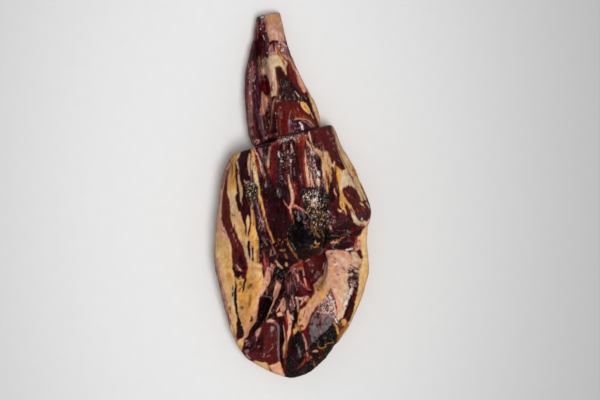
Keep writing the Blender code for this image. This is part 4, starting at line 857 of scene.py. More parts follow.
# The left side: its bands of fat and lean, from the shoulder down to the left pad.
LEFT_MARKS = (
    ("left flank", "wine", 0.8, (
        (238, 148), (252, 144), (262, 158), (276, 190), (288, 215), (284, 250), (262, 262), (248, 262),
        (236, 240), (226, 200), (228, 176),
    )),
    ("left flank violet", "violet", 1.6, (
        (256, 200), (268, 200), (272, 226), (268, 250), (260, 240),
    ), 0.4, 3.0),
    ("left rim skin", "clay", 0.9, (
        (228, 163, 1.6), (225, 170, 2.2), (223, 180, 2.4), (219, 200, 2.4), (215.4, 230, 2.4),
        (214.6, 244, 2.4),
    )),
    ("left rim skin peach", "peach", 1.6, (
        (224, 186, 0.8), (219, 216, 1.4), (217.4, 232, 1.4), (217, 248, 1.4),
    ), 0.8, 5.0),
    ("left rim skin edge", "mauve", 1.2, ((225.6, 173, 0.8), (221.4, 190, 0.5)), 0.8, 3.0),
    ("left rim fat", "peach", 1.0, (
        (222, 190), (222.2, 200), (221.4, 217), (222.6, 223), (229, 239), (230.6, 250), (217.6, 250),
        (217.2, 230), (220, 200), (221.2, 190),
    )),
    ("left rim fat pale", "beige", 1.4, ((220.4, 204, 0.7), (219.6, 216, 1), (220, 226, 1.2)), 0.7, 3.0),
    ("left rim fat amber", "amber", 2.4, ((221, 236, 1), (224, 244, 2.4)), 0.8, 4.0),
    ("left rim fat grey", "mauve", 0.6, ((221.6, 228, 0.4), (224.4, 233.4, 0.6)), 0.9, 2.0),
    ("left shoulder", "amber", 0.8, (
        (234, 149), (240, 150), (241.4, 153), (239.4, 157), (236.4, 160), (235, 165), (236, 185),
        (237.2, 190), (235.6, 193), (229, 193), (227, 186), (227.2, 177), (229.6, 172), (230.4, 166),
        (230, 160), (232, 154),
    )),
    ("left shoulder ochre", "ochre", 1.0, (
        (232.6, 157, 0.5), (232, 164, 1.2), (232.4, 172, 0.9), (231, 180, 0.8),
    ), 0.85, 3.0),
    ("left shoulder cream", "cream", 0.9, ((238, 152, 0.8), (239.6, 154.6, 1.1), (237.4, 158, 0.5))),
    ("left shoulder mauve", "mauve", 1.0, (
        (229, 171.6, 0.6), (227.6, 176, 0.8), (227.2, 184, 0.4),
    ), 0.8, 2.0),
    ("left shoulder line", "beige", 0.7, ((236.6, 159, 0.4), (237.4, 165, 0.9), (238.4, 171, 0.4))),
    ("left bump", "clay", 1.0, (
        (222.6, 168), (226, 164), (230, 162), (230.6, 167), (229.6, 171), (225, 171.6),
    )),
    ("left bump crease", "plum", 0.8, ((225, 171.6, 0.4), (228, 170.4, 0.6), (230, 168, 0.4))),
    ("left stripe", "maroon", 0.8, (
        (226.6, 176), (225, 180), (223, 192), (222, 208), (221.4, 216), (222.4, 222), (227, 232),
        (229, 238), (233.4, 256), (235, 262), (242, 274), (245, 278), (247.6, 274), (248, 266), (247, 260),
        (243, 248), (240.4, 243), (236.6, 233), (233.4, 228), (231.2, 223), (230.4, 216), (229.6, 198),
        (228, 192), (227, 186),
    )),
    ("left stripe red", "garnet", 2.0, (
        (225.6, 196, 1.2), (226, 208, 2), (226.6, 220, 1.8), (230, 230, 1.4),
    ), 0.6, 4.0),
    ("left stripe bloom high", "mauve", 1.6, ((231, 230, 0.6), (234, 237, 1), (238, 245, 0.8)), 0.4, 1.6),
    ("left stripe low", "wine", 2.4, ((236, 250, 1.8), (240, 258, 2.8), (244, 268, 2.2)), 0.8, 4.0),
    ("left stripe line", "black", 0.6, ((232, 262, 0.5), (235, 274, 1.2), (238, 279, 1.3))),
    ("left stripe curve", "rust", 0.9, ((233.4, 262.6, 0.4), (235.8, 267.4, 1.1), (241.6, 275, 0.7))),
    ("left stripe pale", "peach", 0.6, (
        (236.6, 264.6, 0.3), (241, 271, 0.8), (243, 273.6, 0.4),
    ), 0.85, 2.4),
    ("middle band", "straw", 0.9, (
        (228, 190), (237, 190), (235.4, 197), (236.4, 204), (238, 210), (240.6, 213), (241.4, 218),
        (247.6, 234), (249, 240), (250, 247), (245.6, 250), (241.6, 243), (238.6, 237.4), (236.8, 232.4),
        (231.4, 222), (230.4, 206), (229, 197),
    )),
    ("middle band tan", "beige", 1.6, ((232, 194, 1.6), (233, 206, 2), (238, 224, 1.4)), 0.8, 3.0),
    ("middle band orange", "amber", 1.4, ((239, 219, 0.8), (242, 227, 1.8), (244.6, 237, 1.8))),
    ("middle band grey", "mauve", 1.0, ((231.8, 213, 0.4), (232.8, 220, 1.1), (235, 228, 0.7)), 0.7, 2.4),
    ("middle band spot", "rust", 0.5, ((232.6, 215.4, 0.5), (234.4, 215.8, 0.8))),
    ("middle band stroke", "cream", 0.8, (
        (232.6, 198, 0.5), (233.4, 206, 0.8), (234.6, 211, 0.4),
    ), 0.7, 3.0),
    ("middle band pale", "blush", 0.6, ((238.8, 211.6, 0.6), (240, 216, 0.9), (240.8, 219.4, 0.4))),
    ("dark cord", "wine", 0.7, (
        (236.6, 168, 0.5), (237, 176, 1), (238.2, 196, 1.2), (239.6, 207, 1.6), (240.8, 212, 0.8),
    )),
    ("pale cord", "beige", 0.6, (
        (238.2, 173, 0.3), (239, 180, 0.8), (241.2, 192, 1.6), (240.8, 197, 1.1), (241.4, 202, 0.5),
    )),
    ("pale cord tail", "mauve", 0.5, ((241.6, 202, 0.4), (242.7, 210, 0.3))),
    ("dark panel", "wine", 0.8, (
        (241.4, 151), (245, 148), (250, 147), (249.4, 152), (247.8, 158), (249, 175), (249, 181),
        (243, 182), (240.4, 177), (239, 160),
    )),
    ("dark panel low", "wine", 0.7, (
        (243, 187), (250, 187), (250, 205), (250.6, 212), (250, 218), (247.8, 215.4), (246, 220),
        (245.6, 228), (241.4, 213), (242.4, 204), (242.6, 196),
    )),
    ("thread one", "beige", 0.6, ((249.8, 154, 0.6), (248.7, 160, 1.2), (249.4, 174.6, 0.5))),
    ("thread one foot", "mauve", 0.6, ((250.6, 170, 0.4), (251.6, 182, 0.4))),
    ("seam top", "clay", 0.9, (
        (249.8, 146.6, 0.7), (251.6, 148.4, 1), (252, 152, 1.1), (251.2, 158, 1), (251.6, 164, 0.8),
    )),
    ("seam top pale", "beige", 0.9, ((251.2, 160, 0.4), (251.6, 166, 1), (252.2, 170, 0.4))),
    ("seam top grey", "olive", 0.8, ((250.4, 150, 0.4), (250.8, 160, 0.3)), 0.8, 2.4),
    ("seam top amber", "amber", 0.9, ((252, 151, 0.7), (253.4, 155, 1.1), (254.4, 160, 0.8))),
    ("seam wide", "straw", 0.8, ((252.6, 158, 1), (254.4, 165, 1.4), (255.8, 179, 2), (259, 190, 1.3))),
    ("seam wide pale", "cream", 1.2, ((254.6, 170, 0.8), (256, 177, 1.1), (258.8, 190, 0.7)), 0.8, 3.0),
    ("seam olive", "olive", 0.8, ((253.6, 163, 0.4), (254.4, 168, 0.6), (254, 174, 0.4)), 0.8, 2.4),
    ("long seam", "amber", 0.6, (
        (258.8, 188, 1.3), (259.6, 195, 1.5), (265.8, 220, 0.5), (269.4, 232, 0.8), (274, 242, 0.7),
    )),
    ("long seam bright", "straw", 0.7, ((259, 190, 0.8), (260, 197, 0.7), (262, 206, 0.3))),
    ("long seam gold", "gold", 0.8, ((261, 201, 0.5), (264, 213, 0.4))),
    ("long seam ochre", "ochre", 0.7, ((266.8, 223, 0.6), (270, 234, 0.4)), 0.8, 3.0),
    ("rust thread", "flame", 0.7, ((254.8, 155, 0.5), (257.8, 167, 0.9), (260.4, 178, 0.4)), 0.9, 3.0),
    ("shoulder thread", "blush", 0.7, (
        (252.6, 146.4, 0.7), (257.6, 155.4, 0.6), (262, 170, 1.3), (264.6, 175.4, 0.9),
    )),
    ("shoulder thread mauve", "mauve", 0.7, ((261.4, 166, 0.4), (265, 175, 0.6)), 0.8, 2.0),
    ("shoulder thread flame", "flame", 0.6, ((257.4, 156.4, 0.5), (258.6, 157.4, 0.5))),
    ("shoulder thread low", "rust", 0.9, ((262.4, 171, 0.3), (264, 176, 0.8), (267.6, 187, 0.3))),
    ("left crust", "crust", 1.0, (
        (245.4, 183), (250, 181), (256, 184), (258, 190), (257.6, 198), (255.6, 206), (250, 204),
        (247, 199), (244.6, 190),
    )),
    ("left crust olive", "olive", 0.9, (
        (245, 181), (256, 184), (257, 198), (250, 206), (246, 192),
    ), 0.35, 1.5),
    ("left crust sheen", "silver", 1.0, (
        (250.6, 183.6, 0.7), (253, 185, 1.2), (254.6, 187.4, 0.5),
    ), 0.9, 1.5),
    ("left crust bloom", "beige", 0.4, (
        (246, 182), (256, 184), (257, 198), (252, 206), (246, 192),
    ), 0.1, 0.7),
    ("left crust tongue", "clay", 0.7, (
        (244, 181.4, 0.5), (247, 182.4, 0.7), (249.6, 181.4, 0.4),
    ), 0.9, 1.5),
    ("left crust dot", "white", 0.5, ((250.4, 193.4, 0.4), (249.6, 195.4, 0.5))),
    ("left crust ochre", "ochre", 0.6, ((246.4, 196, 0.8),)),
    # Painted light on the left crust's red spot, in lit garnet.
    ("left crust red", "lit_garnet", 0.6, ((248, 198.6, 0.5), (249, 205.4, 0.7))),
    ("left crust low", "beige", 0.6, ((251.4, 199, 0.3), (253, 206, 0.3)), 0.8, 1.2),
    ("straw tongue", "straw", 0.6, (
        (246.4, 219), (247.8, 215.8), (249.4, 219), (249.4, 224), (247.4, 232), (245.8, 228),
    )),
    # Painted shade in the gap beside the tongue.
    ("cream tongue gap", "wine", 0.6, ((245, 216, 0.4), (246, 231, 0.9), (247, 237, 0.4))),
    ("amber tongue", "amber", 0.7, (
        (251, 206), (252.2, 208), (255, 220), (255.4, 228), (257, 233), (258, 240), (258, 247),
        (249.6, 247), (249, 238), (251.2, 224), (251, 216),
    )),
    ("amber tongue top", "beige", 0.6, ((251.4, 206, 0.4), (251.9, 212, 0.6), (251.6, 218, 0.4))),
    ("amber tongue core", "gold", 1.0, ((252.6, 226, 0.8), (253.4, 232, 1.3), (253, 238, 0.8)), 0.8, 2.4),
    ("amber tongue ochre", "ochre", 0.7, ((253.2, 214, 0.4), (253.8, 219, 0.7), (253.6, 225.4, 0.6))),
    ("amber tongue edge", "cream", 0.6, (
        (255.2, 229, 0.4), (255.8, 235, 0.6), (254.4, 240, 0.6),
    ), 0.9, 1.8),
    # Painted shade in the gap beside the tongue.
    ("amber tongue gap", "wine", 0.6, ((256.8, 226, 0.5), (257.2, 233, 0.9), (258.4, 239, 0.5))),
    ("tongue tan", "clay", 1.0, ((247, 232, 0.8), (248, 238, 1.2)), 0.7, 2.0),
    ("tongue line", "wine", 0.5, ((250.4, 214, 0.4), (249.8, 231, 0.4))),
    ("grey strand", "mauve", 0.6, (
        (257, 204, 0.4), (260.6, 218, 0.7), (262.8, 223, 0.6), (264.6, 229, 0.3),
    ), 0.85, 2.0),
    ("grey strand dots", "cream", 0.4, ((260.6, 219.4, 0.4),)),
    ("grey strand dot low", "cream", 0.4, ((263.6, 221.4, 0.4),)),
    ("left gold flecks", "ochre", 0.5, (
        (258, 184), (268, 196), (272, 226), (264, 232), (259, 208),
    ), 0.05, 1.2),
    ("left grey flecks", "mauve", 0.5, (
        (250, 204), (260, 200), (266, 216), (270, 246), (262, 246), (256, 224),
    ), 0.06, 0.9),
)

# Below the ledge: the outer fat, the strands, the pink pad, the dome, the cleft, the yellow pad and the
# butt.
LOWER_MARKS = (
    ("lower lean", "garnet", 2.0, (
        (250, 262), (285, 264), (303, 258), (335, 240), (366, 226), (366, 290), (340, 345), (300, 385),
        (250, 380), (236, 330),
    )),
    ("centre wine", "wine", 1.4, (
        (262, 240), (285, 250), (300, 262), (304, 285), (300, 310), (296, 330), (280, 320), (268, 320),
        (262, 296), (266, 270),
    )),
    ("left outer band", "clay", 0.9, (
        (215, 240), (218.6, 245), (219, 256), (220.6, 264), (225.6, 288), (228.4, 298), (230, 306),
        (229.6, 311), (232, 320), (235, 331), (237, 342), (234, 342), (228, 322), (222, 300), (216, 270),
        (213.5, 256), (213.5, 244),
    )),
    ("left outer band brown", "mauve", 1.2, (
        (215.4, 262, 0.6), (218, 276, 0.9), (222, 292, 1.2), (230, 324, 0.7),
    ), 0.5, 3.0),
    ("left fat", "straw", 0.8, (
        (218, 240), (229, 240), (231, 248), (232.5, 262), (232, 268), (234, 274), (235, 288), (234.5, 296),
        (235.4, 308), (237, 315), (236, 332), (235, 340), (232, 334), (230, 324), (228, 305), (220.5, 276),
        (218, 252),
    )),
    ("left fat amber", "amber", 2.0, ((226, 248, 2.2), (229.4, 275, 2.6), (230.6, 288, 1.2)), 0.8, 6.0),
    ("left fat grey", "beige", 1.0, ((231.6, 284, 1), (231.6, 292, 1.8), (230.6, 301, 1.8), (231, 307, 1))),
    ("left fat olive", "olive", 1.0, ((232.6, 286, 0.5), (232.6, 296, 0.8)), 0.7, 2.0),
    ("left fat low", "peach", 0.9, ((232.8, 314, 0.9), (233.8, 319, 1.5), (234.4, 326, 0.8))),
    ("left fat foot", "ochre", 1.2, ((232.4, 322, 0.6), (234, 330, 0.9), (235, 337, 0.6)), 0.8, 3.0),
    ("left fat corner", "rust", 1.4, ((229.6, 307.6, 0.8), (230.4, 310.6, 0.8)), 0.8, 2.0),
    ("left fat ochre", "ochre", 0.6, ((230.5, 307, 0.6), (230.8, 313, 0.7))),
    ("left fat spots", "brown", 0.5, ((228, 314, 0.6), (230, 319, 0.6), (231, 324, 0.5)), 0.8, 1.2),
    ("band beside stripe", "beige", 0.7, (
        (240, 241), (244, 240), (247, 246), (248, 254), (250, 259), (252, 265), (251, 267), (248, 266),
        (247, 260), (243, 246),
    )),
    ("band beside stripe ochre", "ochre", 0.6, ((248, 264, 0.9),)),
    ("dark oval one", "wine", 0.6, (
        (247.4, 242), (249.6, 240.6), (250.2, 246), (250, 253), (248.8, 255.4), (247.6, 250),
    )),
    ("dark oval two", "wine", 0.6, ((251.8, 245.4, 0.5), (252.4, 252, 0.8), (252.8, 262.4, 0.5))),
    ("cream between", "beige", 0.5, ((251, 242, 0.6), (251.2, 262, 0.6))),
    ("amber bar", "amber", 0.7, ((257, 238, 1.4), (256.2, 256, 2.4), (257, 266, 1.8))),
    ("amber bar core", "straw", 0.9, ((254.8, 246, 0.7), (254.6, 254, 1), (254.8, 261, 0.6))),
    ("amber bar ochre", "ochre", 1.0, ((257.4, 240, 0.8), (257.6, 265, 0.7)), 0.75, 2.4),
    ("bar shade", "black", 0.7, ((260, 240, 1.5), (261.6, 248, 1.9), (261.8, 256, 1.7), (261.4, 262, 0.8))),
    ("bar shade speck", "mauve", 0.5, ((261, 256, 0.6),)),
    ("bar shade fleck", "ochre", 0.5, ((265, 242, 0.6), (267, 245, 0.6))),
    ("pad top", "straw", 1.2, ((250, 262, 1.6), (254, 264, 2), (259, 266, 2.2), (261.4, 269, 1.8))),
    ("wrinkle high", "cream", 0.5, ((249, 264, 0.5), (258, 269, 0.8), (262, 270, 0.6))),
    ("left pad", "amber", 0.9, (
        (249, 266), (255, 267), (262, 270), (265, 279), (268, 281), (266, 287), (263, 292), (260, 296),
        (258, 304), (258, 311), (256, 317), (255, 322), (252, 327), (249, 333), (247, 336), (244, 335),
        (243, 329), (241, 322), (238, 315), (237, 305), (237, 290), (236, 283), (234.5, 277), (238, 279),
        (240, 276), (243, 279), (246, 278), (248, 268),
    )),
    ("left pad light", "straw", 2.4, (
        (252, 272, 2), (258, 274.6, 3), (261.6, 279.6, 2.4), (261, 286, 1.6),
    ), 0.85, 6.0),
    ("left pad cream", "cream", 1.2, ((254, 270, 0.9), (260, 274, 1.2), (262, 280, 0.8)), 0.6, 2.5),
    ("left pad pink", "peach", 1.8, (
        (266, 284, 1), (262, 291, 1.8), (258.6, 300, 2), (254, 320, 1.6),
    ), 0.9, 4.0),
    ("left pad rim", "rust", 0.9, ((261.6, 296, 0.3), (258.8, 303, 0.5), (257, 312, 0.5)), 0.7, 2.0),
    ("left pad orange", "ochre", 2.4, ((250, 296, 1), (249.6, 306, 1.4), (250, 314, 1)), 0.45, 5.0),
    ("left pad low", "peach", 2.4, ((242, 314, 1.4), (247, 310, 2.4), (251, 316, 2)), 0.6, 5.0),
    ("left pad gold", "gold", 1.0, ((240.6, 291, 0.8), (242.6, 297, 1.6), (242.4, 303, 1))),
    ("left pad ochre", "ochre", 0.9, ((242, 308, 1.9),)),
    ("left pad scar", "ochre", 2.0, ((248.4, 288, 1.2), (250.4, 285.6, 2.4), (253, 284.6, 0.8)), 0.9, 3.0),
    ("left pad scar core", "rust", 0.6, ((250.6, 285.4, 1),)),
    ("left pad dot", "rust", 0.5, ((239.5, 291.5, 0.8),)),
    ("left pad nick", "ochre", 0.5, ((241.4, 283, 0.6), (241.8, 287, 0.6))),
    # Painted shade in the slit of the left pad.
    ("left pad slit", "black", 0.5, ((245.6, 279, 0.9), (244, 284, 1.2), (242.5, 292, 0.4))),
    ("left pad spike", "cream", 0.4, ((239.5, 275, 0.5), (239.5, 281, 0.5))),
    ("left pad shade", "wine", 0.6, (
        (236, 271), (241, 271), (245, 274), (245, 277), (243, 275), (240.8, 274.4), (239, 279.6),
        (237, 274),
    )),
    ("left pad spikes", "ochre", 1.0, (
        (237, 279, 0.6), (240.4, 281, 1.4), (240.8, 286, 1.4), (239.6, 291, 1),
    ), 0.7, 1.6),
    ("left pad olive", "olive", 0.9, ((252, 317, 1.2), (251, 323, 1.4)), 0.7, 1.8),
    ("left pad tail", "peach", 0.9, ((248, 322, 1.4), (247, 329, 2.6), (246, 335, 1.6), (243, 339, 1.2))),
    ("left pad border", "beige", 0.6, ((237, 296, 0.6), (238.4, 314, 0.6)), 0.8, 2.0),
    # Painted shade in the seam between the pad and the fat.
    ("pad seam", "black", 0.8, ((235, 287, 0.9), (235, 302, 1.5), (237, 314, 1.3))),
    ("pad seam wide", "wine", 0.6, (
        (237, 312), (239, 317), (243, 328), (244, 334), (242, 338), (238, 338), (237, 330), (237.4, 322),
    )),
    ("pad seam dot", "cream", 0.5, ((242, 324.6, 0.8),)),
    ("left foot fat", "straw", 0.9, (
        (237.6, 341), (241, 339), (244, 340.4), (243.4, 344), (245, 347), (243, 350), (240, 350.4),
        (237, 345),
    )),
    ("left foot gold", "gold", 0.7, ((242.4, 341.6, 1.2),)),
    ("left foot amber", "amber", 1.0, ((240.4, 347, 1.6), (241.6, 349.6, 1))),
    ("left foot shade", "rust", 0.7, ((243.4, 346, 0.8), (244, 349, 0.8))),
    ("tissue", "rose", 0.7, (
        (262.6, 250), (268, 261), (270, 266), (274, 264), (276, 265), (275, 269), (270, 281), (267, 284),
        (265, 279), (265, 272), (264, 266), (263.5, 258),
    ), 0.85, 3.0),
    ("tissue pale", "blush", 0.8, ((268, 265), (275, 265), (274, 272), (270, 278), (267, 272)), 0.5, 2.0),
    ("tissue tip", "garnet", 0.6, ((264, 249, 0.6), (266.6, 262, 1))),
    # Painted shade in the hole beside the tissue.
    ("tissue hole", "wine", 0.6, ((262.6, 268, 0.6), (263.4, 273, 1.1), (263.8, 277, 0.6))),
    ("peach wedge", "peach", 0.8, (
        (266, 271), (269, 272), (270.6, 278), (269, 284), (265.6, 289), (263, 292), (262, 289), (264, 283),
    )),
    ("peach wedge amber", "amber", 0.5, ((264, 280, 0.5), (262, 287, 0.6))),
    ("peach wedge spot", "rust", 0.5, ((267, 280, 0.7),)),
    ("wedge dot", "silver", 0.5, ((271, 267, 1.1),)),
    ("knob strand", "mauve", 0.5, ((270, 240, 0.5), (274, 250, 0.8), (276, 255, 0.4))),
    ("knob red", "garnet", 0.5, ((265, 234, 0.6), (266, 240, 0.7))),
    ("knob ochre", "ochre", 0.5, ((271, 250, 0.5), (271, 256, 0.5))),
    ("gold patch", "ochre", 0.8, (
        (275, 240), (281, 238), (286, 240), (288, 243), (286, 248), (285, 251), (280, 251), (277, 247),
    ), 0.16, 1.0),
    ("gold patch bright", "ochre", 0.6, ((280, 250.4, 0.4), (282.4, 250.8, 0.6), (285, 249.6, 0.3))),
    # Painted shade where the hollow runs under the ledge.
    ("shade under ledge", "black", 1.4, (
        (294, 250), (306, 240), (322, 238), (325, 246), (319, 253), (312, 257.4), (303, 260), (297, 258),
    )),
    ("gold tail", "ochre", 0.5, ((288, 243, 0.7), (293, 252, 1), (296, 256, 0.9), (298, 260, 0.4))),
    ("gold stub", "ochre", 0.5, ((285, 254, 0.8), (287, 259, 0.9))),
    ("grey hair", "silver", 0.4, ((292, 243, 0.4), (295, 249, 0.4))),
    ("ledge gold", "amber", 0.5, ((315, 241, 0.5), (317, 244, 0.6), (319.5, 242.5, 0.5))),
    ("ledge gold low", "ochre", 0.5, ((312, 246, 0.6), (315, 247, 0.9), (318.5, 246.5, 0.7))),
    ("ledge grey", "silver", 0.5, ((311, 245, 0.4), (311, 249, 0.5))),
    ("shadow under knob", "black", 1.0, ((277, 256, 1), (281, 260, 2), (286, 262, 2.4), (292, 262, 1.6))),
    ("knob tip", "flame", 0.5, ((278, 255, 0.4), (275.4, 262, 0.8))),
    ("knob arc", "cream", 0.5, ((276, 260, 0.5), (278, 264, 0.9), (281, 267.5, 0.9), (283, 268.5, 0.5))),
    ("knob dot", "beige", 0.5, ((286.5, 265, 1.3),)),
    ("hollow crust", "crust", 0.9, (
        (275, 266), (281, 268), (286, 268), (288, 274), (284, 284), (279, 286), (275, 284), (273, 275),
    )),
    ("hollow bloom", "silver", 0.5, ((275, 270), (284, 270), (286, 282), (276, 284)), 0.18, 1.0),
    ("joining tissue", "rose", 0.7, (
        (290, 268), (294, 265), (298, 262), (301, 260), (304, 264), (306, 267), (302, 270), (296, 271),
        (291, 272),
    )),
    ("joining rust", "rust", 0.6, ((292, 269, 0.8), (298, 266, 1.2), (303, 265, 0.8))),
    ("joining dot", "white", 0.5, ((294.2, 269, 0.9),)),
    ("rose strand", "rose", 0.5, ((289, 271, 0.5), (286, 275, 0.7), (280, 281, 0.4))),
    ("dark strip", "wine", 0.6, (
        (284, 276), (286, 282), (284, 292), (275, 312), (271, 318), (267, 321), (268, 316), (272, 308),
        (281, 284),
    )),
    ("peach strip", "peach", 0.5, (
        (277.4, 281), (280.8, 284.6), (279.8, 290), (276, 299), (273.8, 302.6), (267.6, 317), (266.2, 320),
        (265.6, 318), (268, 313), (272.2, 303.6), (273.6, 299), (273.2, 294), (275.6, 284),
    )),
    ("peach strip tip glint", "mauve", 0.5, ((278, 281.6, 0.8), (280, 284, 0.7))),
    ("rose stub", "rose", 0.5, ((285, 282, 0.5), (288, 286, 0.8))),
    ("centre lean", "garnet", 0.9, (
        (289, 275), (297, 274), (303, 283), (309, 290), (303, 296), (296, 294), (291, 292), (288, 284),
    ), 0.7, 4.0),
    ("centre glow", "mauve", 1.0, (
        (285, 277), (289, 270), (298, 270), (299, 276), (293, 280), (290, 292), (286, 288),
    ), 0.5, 1.6),
    ("centre bloom", "plum", 0.9, (
        (290, 276), (298, 278), (304, 292), (300, 310), (292, 312), (288, 296),
    ), 0.4, 2.5),
    ("pale strand one", "mauve", 0.4, ((287, 281, 0.4), (288.5, 286, 0.6), (287.5, 293, 0.5))),
    ("pale strand two", "mauve", 0.4, ((293, 277, 0.4), (297, 290, 0.4))),
    ("white strand", "blush", 0.5, ((297, 273.4, 0.5), (298, 278, 0.8), (298.5, 281.6, 0.4))),
    ("white strand mauve", "mauve", 0.6, ((297.6, 268, 0.6), (297.6, 274, 0.7))),
    ("cream strand one", "blush", 0.5, ((303, 268, 0.6), (304, 275, 0.8))),
    ("cream strand two", "blush", 0.5, ((304, 278, 0.6), (305.5, 283, 0.8), (307, 286, 0.4))),
    ("red strand", "rose", 0.5, ((299, 281, 0.5), (309, 289, 0.9), (314, 292, 0.5))),
    ("red strand pale", "mauve", 0.4, ((301, 284, 0.5), (310, 291, 0.4))),
    ("red strand shade", "wine", 0.6, ((306, 291, 0.8), (311, 292, 1.8), (314.6, 292.4, 0.8))),
    ("amber field", "amber", 1.0, (
        (316, 284), (321, 280), (325, 270), (329, 266), (331, 284), (330, 290), (321, 302), (317, 308),
        (310, 316), (308.6, 322), (304, 329), (298.6, 330), (298, 322), (299, 314), (302, 307), (305, 302),
        (311, 298.6), (315, 293), (314, 287),
    )),
    ("amber field olive", "ochre", 1.2, (
        (308, 301, 0.8), (306.6, 307, 1.2), (304, 313, 1.4), (301.6, 320, 1),
    ), 0.55, 3.5),
    ("amber field peach", "peach", 1.4, (
        (327, 284, 1.2), (324, 292, 2), (313, 307, 2), (307, 321, 1.4),
    ), 0.85, 4.0),
    ("amber field tan", "peach", 1.2, ((320.8, 283.6, 1), (319, 288, 1.5), (314, 298, 1)), 0.85, 3.0),
    ("amber field cream", "cream", 0.6, ((313.6, 304.4, 0.8), (316, 302.6, 1))),
    ("amber field rust", "rust", 0.7, ((318, 289.8, 0.8),)),
    ("amber field ochre", "ochre", 0.7, ((321.5, 283, 0.7), (322.6, 286, 0.4)), 0.9, 1.6),
    ("amber field pale", "beige", 0.6, ((326, 277, 0.6), (325, 281, 0.5), (322, 287, 0.4))),
    ("amber field pink", "blush", 1.2, ((327, 259, 1), (326, 275, 2), (329, 284, 1.2)), 0.9, 2.2),
    ("amber field foot", "rust", 0.9, ((300, 326, 1.2), (303.6, 326.4, 1.4))),
    ("amber field flame", "flame", 0.6, ((303.6, 322.6, 0.8), (305, 325.4, 0.6))),
    ("amber field low", "peach", 1.8, (
        (311, 302), (313, 308), (309, 318), (304.6, 328), (299, 330), (299, 318), (302, 309),
    ), 0.55, 2.4),
    ("amber field streaks", "rust", 1.0, (
        (306, 302), (309, 306), (304, 328), (299, 329), (300, 316),
    ), 0.22, 1.6),
    ("amber field garnet", "garnet", 0.8, (
        (301.4, 303), (306, 301.4), (307, 304), (303.6, 308), (300.6, 309),
    )),
    ("amber field mauve", "mauve", 0.8, ((302.6, 297), (308, 296), (309, 299), (304, 301.6), (301.6, 301))),
    ("mauve patch", "blush", 0.8, (
        (313, 285), (317, 281.6), (319, 278), (322, 275), (322, 280), (318.6, 284.6), (315, 287),
    ), 0.85, 2.0),
    ("socket", "maroon", 0.8, (
        (306, 262), (312, 258), (318, 255), (322, 251), (326, 253), (326.6, 258), (325, 263), (322, 274),
        (318, 279), (313, 282.4), (309, 282.4), (306, 279), (304, 272), (303, 266),
    )),
    ("socket low", "wine", 2.4, ((306, 272, 1), (309, 277, 1.6), (314, 272, 1.4)), 0.8, 5.0),
    ("socket red", "garnet", 1.6, ((310, 266, 1.6), (315, 261, 2.4), (322, 257, 1.6)), 0.7, 5.0),
    ("socket bloom", "mauve", 2.0, ((311, 280, 0.6), (315, 277.6, 1.6), (319.6, 273.6, 1.4)), 0.7, 2.2),
    ("socket lip", "plum", 1.2, (
        (323, 250, 0.7), (326.6, 256, 1), (325.6, 262, 0.9), (323.4, 268, 0.8), (321.6, 274, 0.8),
        (318, 279, 0.5),
    )),
    ("socket lip glints", "blush", 0.5, ((325.6, 259, 0.4), (322.6, 269, 0.4)), 0.6, 1.4),
    ("socket fleck", "blush", 0.4, ((306, 261, 0.4), (309, 259.5, 0.6))),
    ("socket hook", "mauve", 0.4, ((308, 261, 0.4), (310, 265, 0.5), (313, 266, 0.4))),
    # The second facet is a step below the ledge: its wine is dark lean in painted shade, and its black line
    # is painted shadow under the ledge.
    ("second facet", "wine", 0.6, (
        (325, 249), (328, 246), (334, 246), (340, 241), (347, 239), (351, 244), (350, 247), (344, 249),
        (338, 250), (330, 250),
    )),
    ("second facet fat", "beige", 0.8, ((331, 243.4, 0.5), (334.4, 241.8, 1), (337.6, 241.6, 0.6))),
    ("second facet ochre", "ochre", 0.5, ((336, 240, 0.6), (340, 238.4, 0.9), (345, 237, 0.6))),
    ("second facet shade", "black", 0.9, (
        (322, 238, 1.4), (330, 237.6, 1.8), (340, 236.6, 0.9), (350, 236.6, 0.5),
    )),
    ("second facet skin", "white", 0.5, ((346, 250, 0.7), (350, 249, 1), (353, 249, 0.7))),
    ("second facet edge", "wine", 0.5, ((347, 252, 0.6), (352, 251.5, 0.9), (355, 252, 0.6))),
    ("right field", "peach", 0.9, (
        (357, 238), (362, 236), (362.6, 244), (363, 256), (361, 262), (358, 268), (353, 268), (350, 262),
        (351, 255), (355, 250), (355.4, 243),
    )),
    # The foot of the facet: dark lean in painted shade.
    ("facet foot", "wine", 0.8, (
        (346, 233), (352, 232), (363, 228.6), (366.4, 229.8), (362.4, 232), (357, 234.6), (350, 236.4),
        (346, 236),
    )),
    ("right field pale", "cream", 0.8, ((351, 256), (362, 250), (362, 262), (354, 268)), 0.4, 1.6),
    ("right field mauve", "mauve", 0.6, ((350, 252), (358, 240), (361, 246), (354, 266)), 0.2, 1.2),
    ("right field spots", "rose", 0.6, ((356, 238, 0.9), (357, 246, 0.9), (358, 248.6, 0.7)), 0.8, 1.5),
    ("right field dot", "white", 0.4, ((358.6, 248.4, 0.6),)),
    ("right field brown", "maroon", 0.7, (
        (357, 251), (361, 250), (362, 255), (363, 258), (361, 259), (358, 256),
    )),
    # Painted light: the steep right rim in lit fat.
    ("right rim fat", "lit_fat", 0.8, (
        (365, 228), (370, 225), (370.6, 232), (370, 245), (370.6, 260), (370, 274), (367.4, 287),
        (358.4, 311), (352.4, 322.6), (338, 344), (333, 349), (332, 346), (336, 341), (338, 336),
        (341, 331), (349, 321), (354, 308), (358, 288), (359, 276), (363, 257), (361.4, 245), (360.4, 236),
    )),
    ("right rim gold", "gold", 1.2, (
        (368.6, 262, 0.6), (367, 278, 1.2), (362.4, 296, 1.4), (356.4, 311, 1.2), (349, 325, 0.8),
    ), 0.75, 4.0),
    ("right rim seam", "tan", 0.5, ((361, 262, 0.6), (359, 275, 0.6), (358, 290, 0.6))),
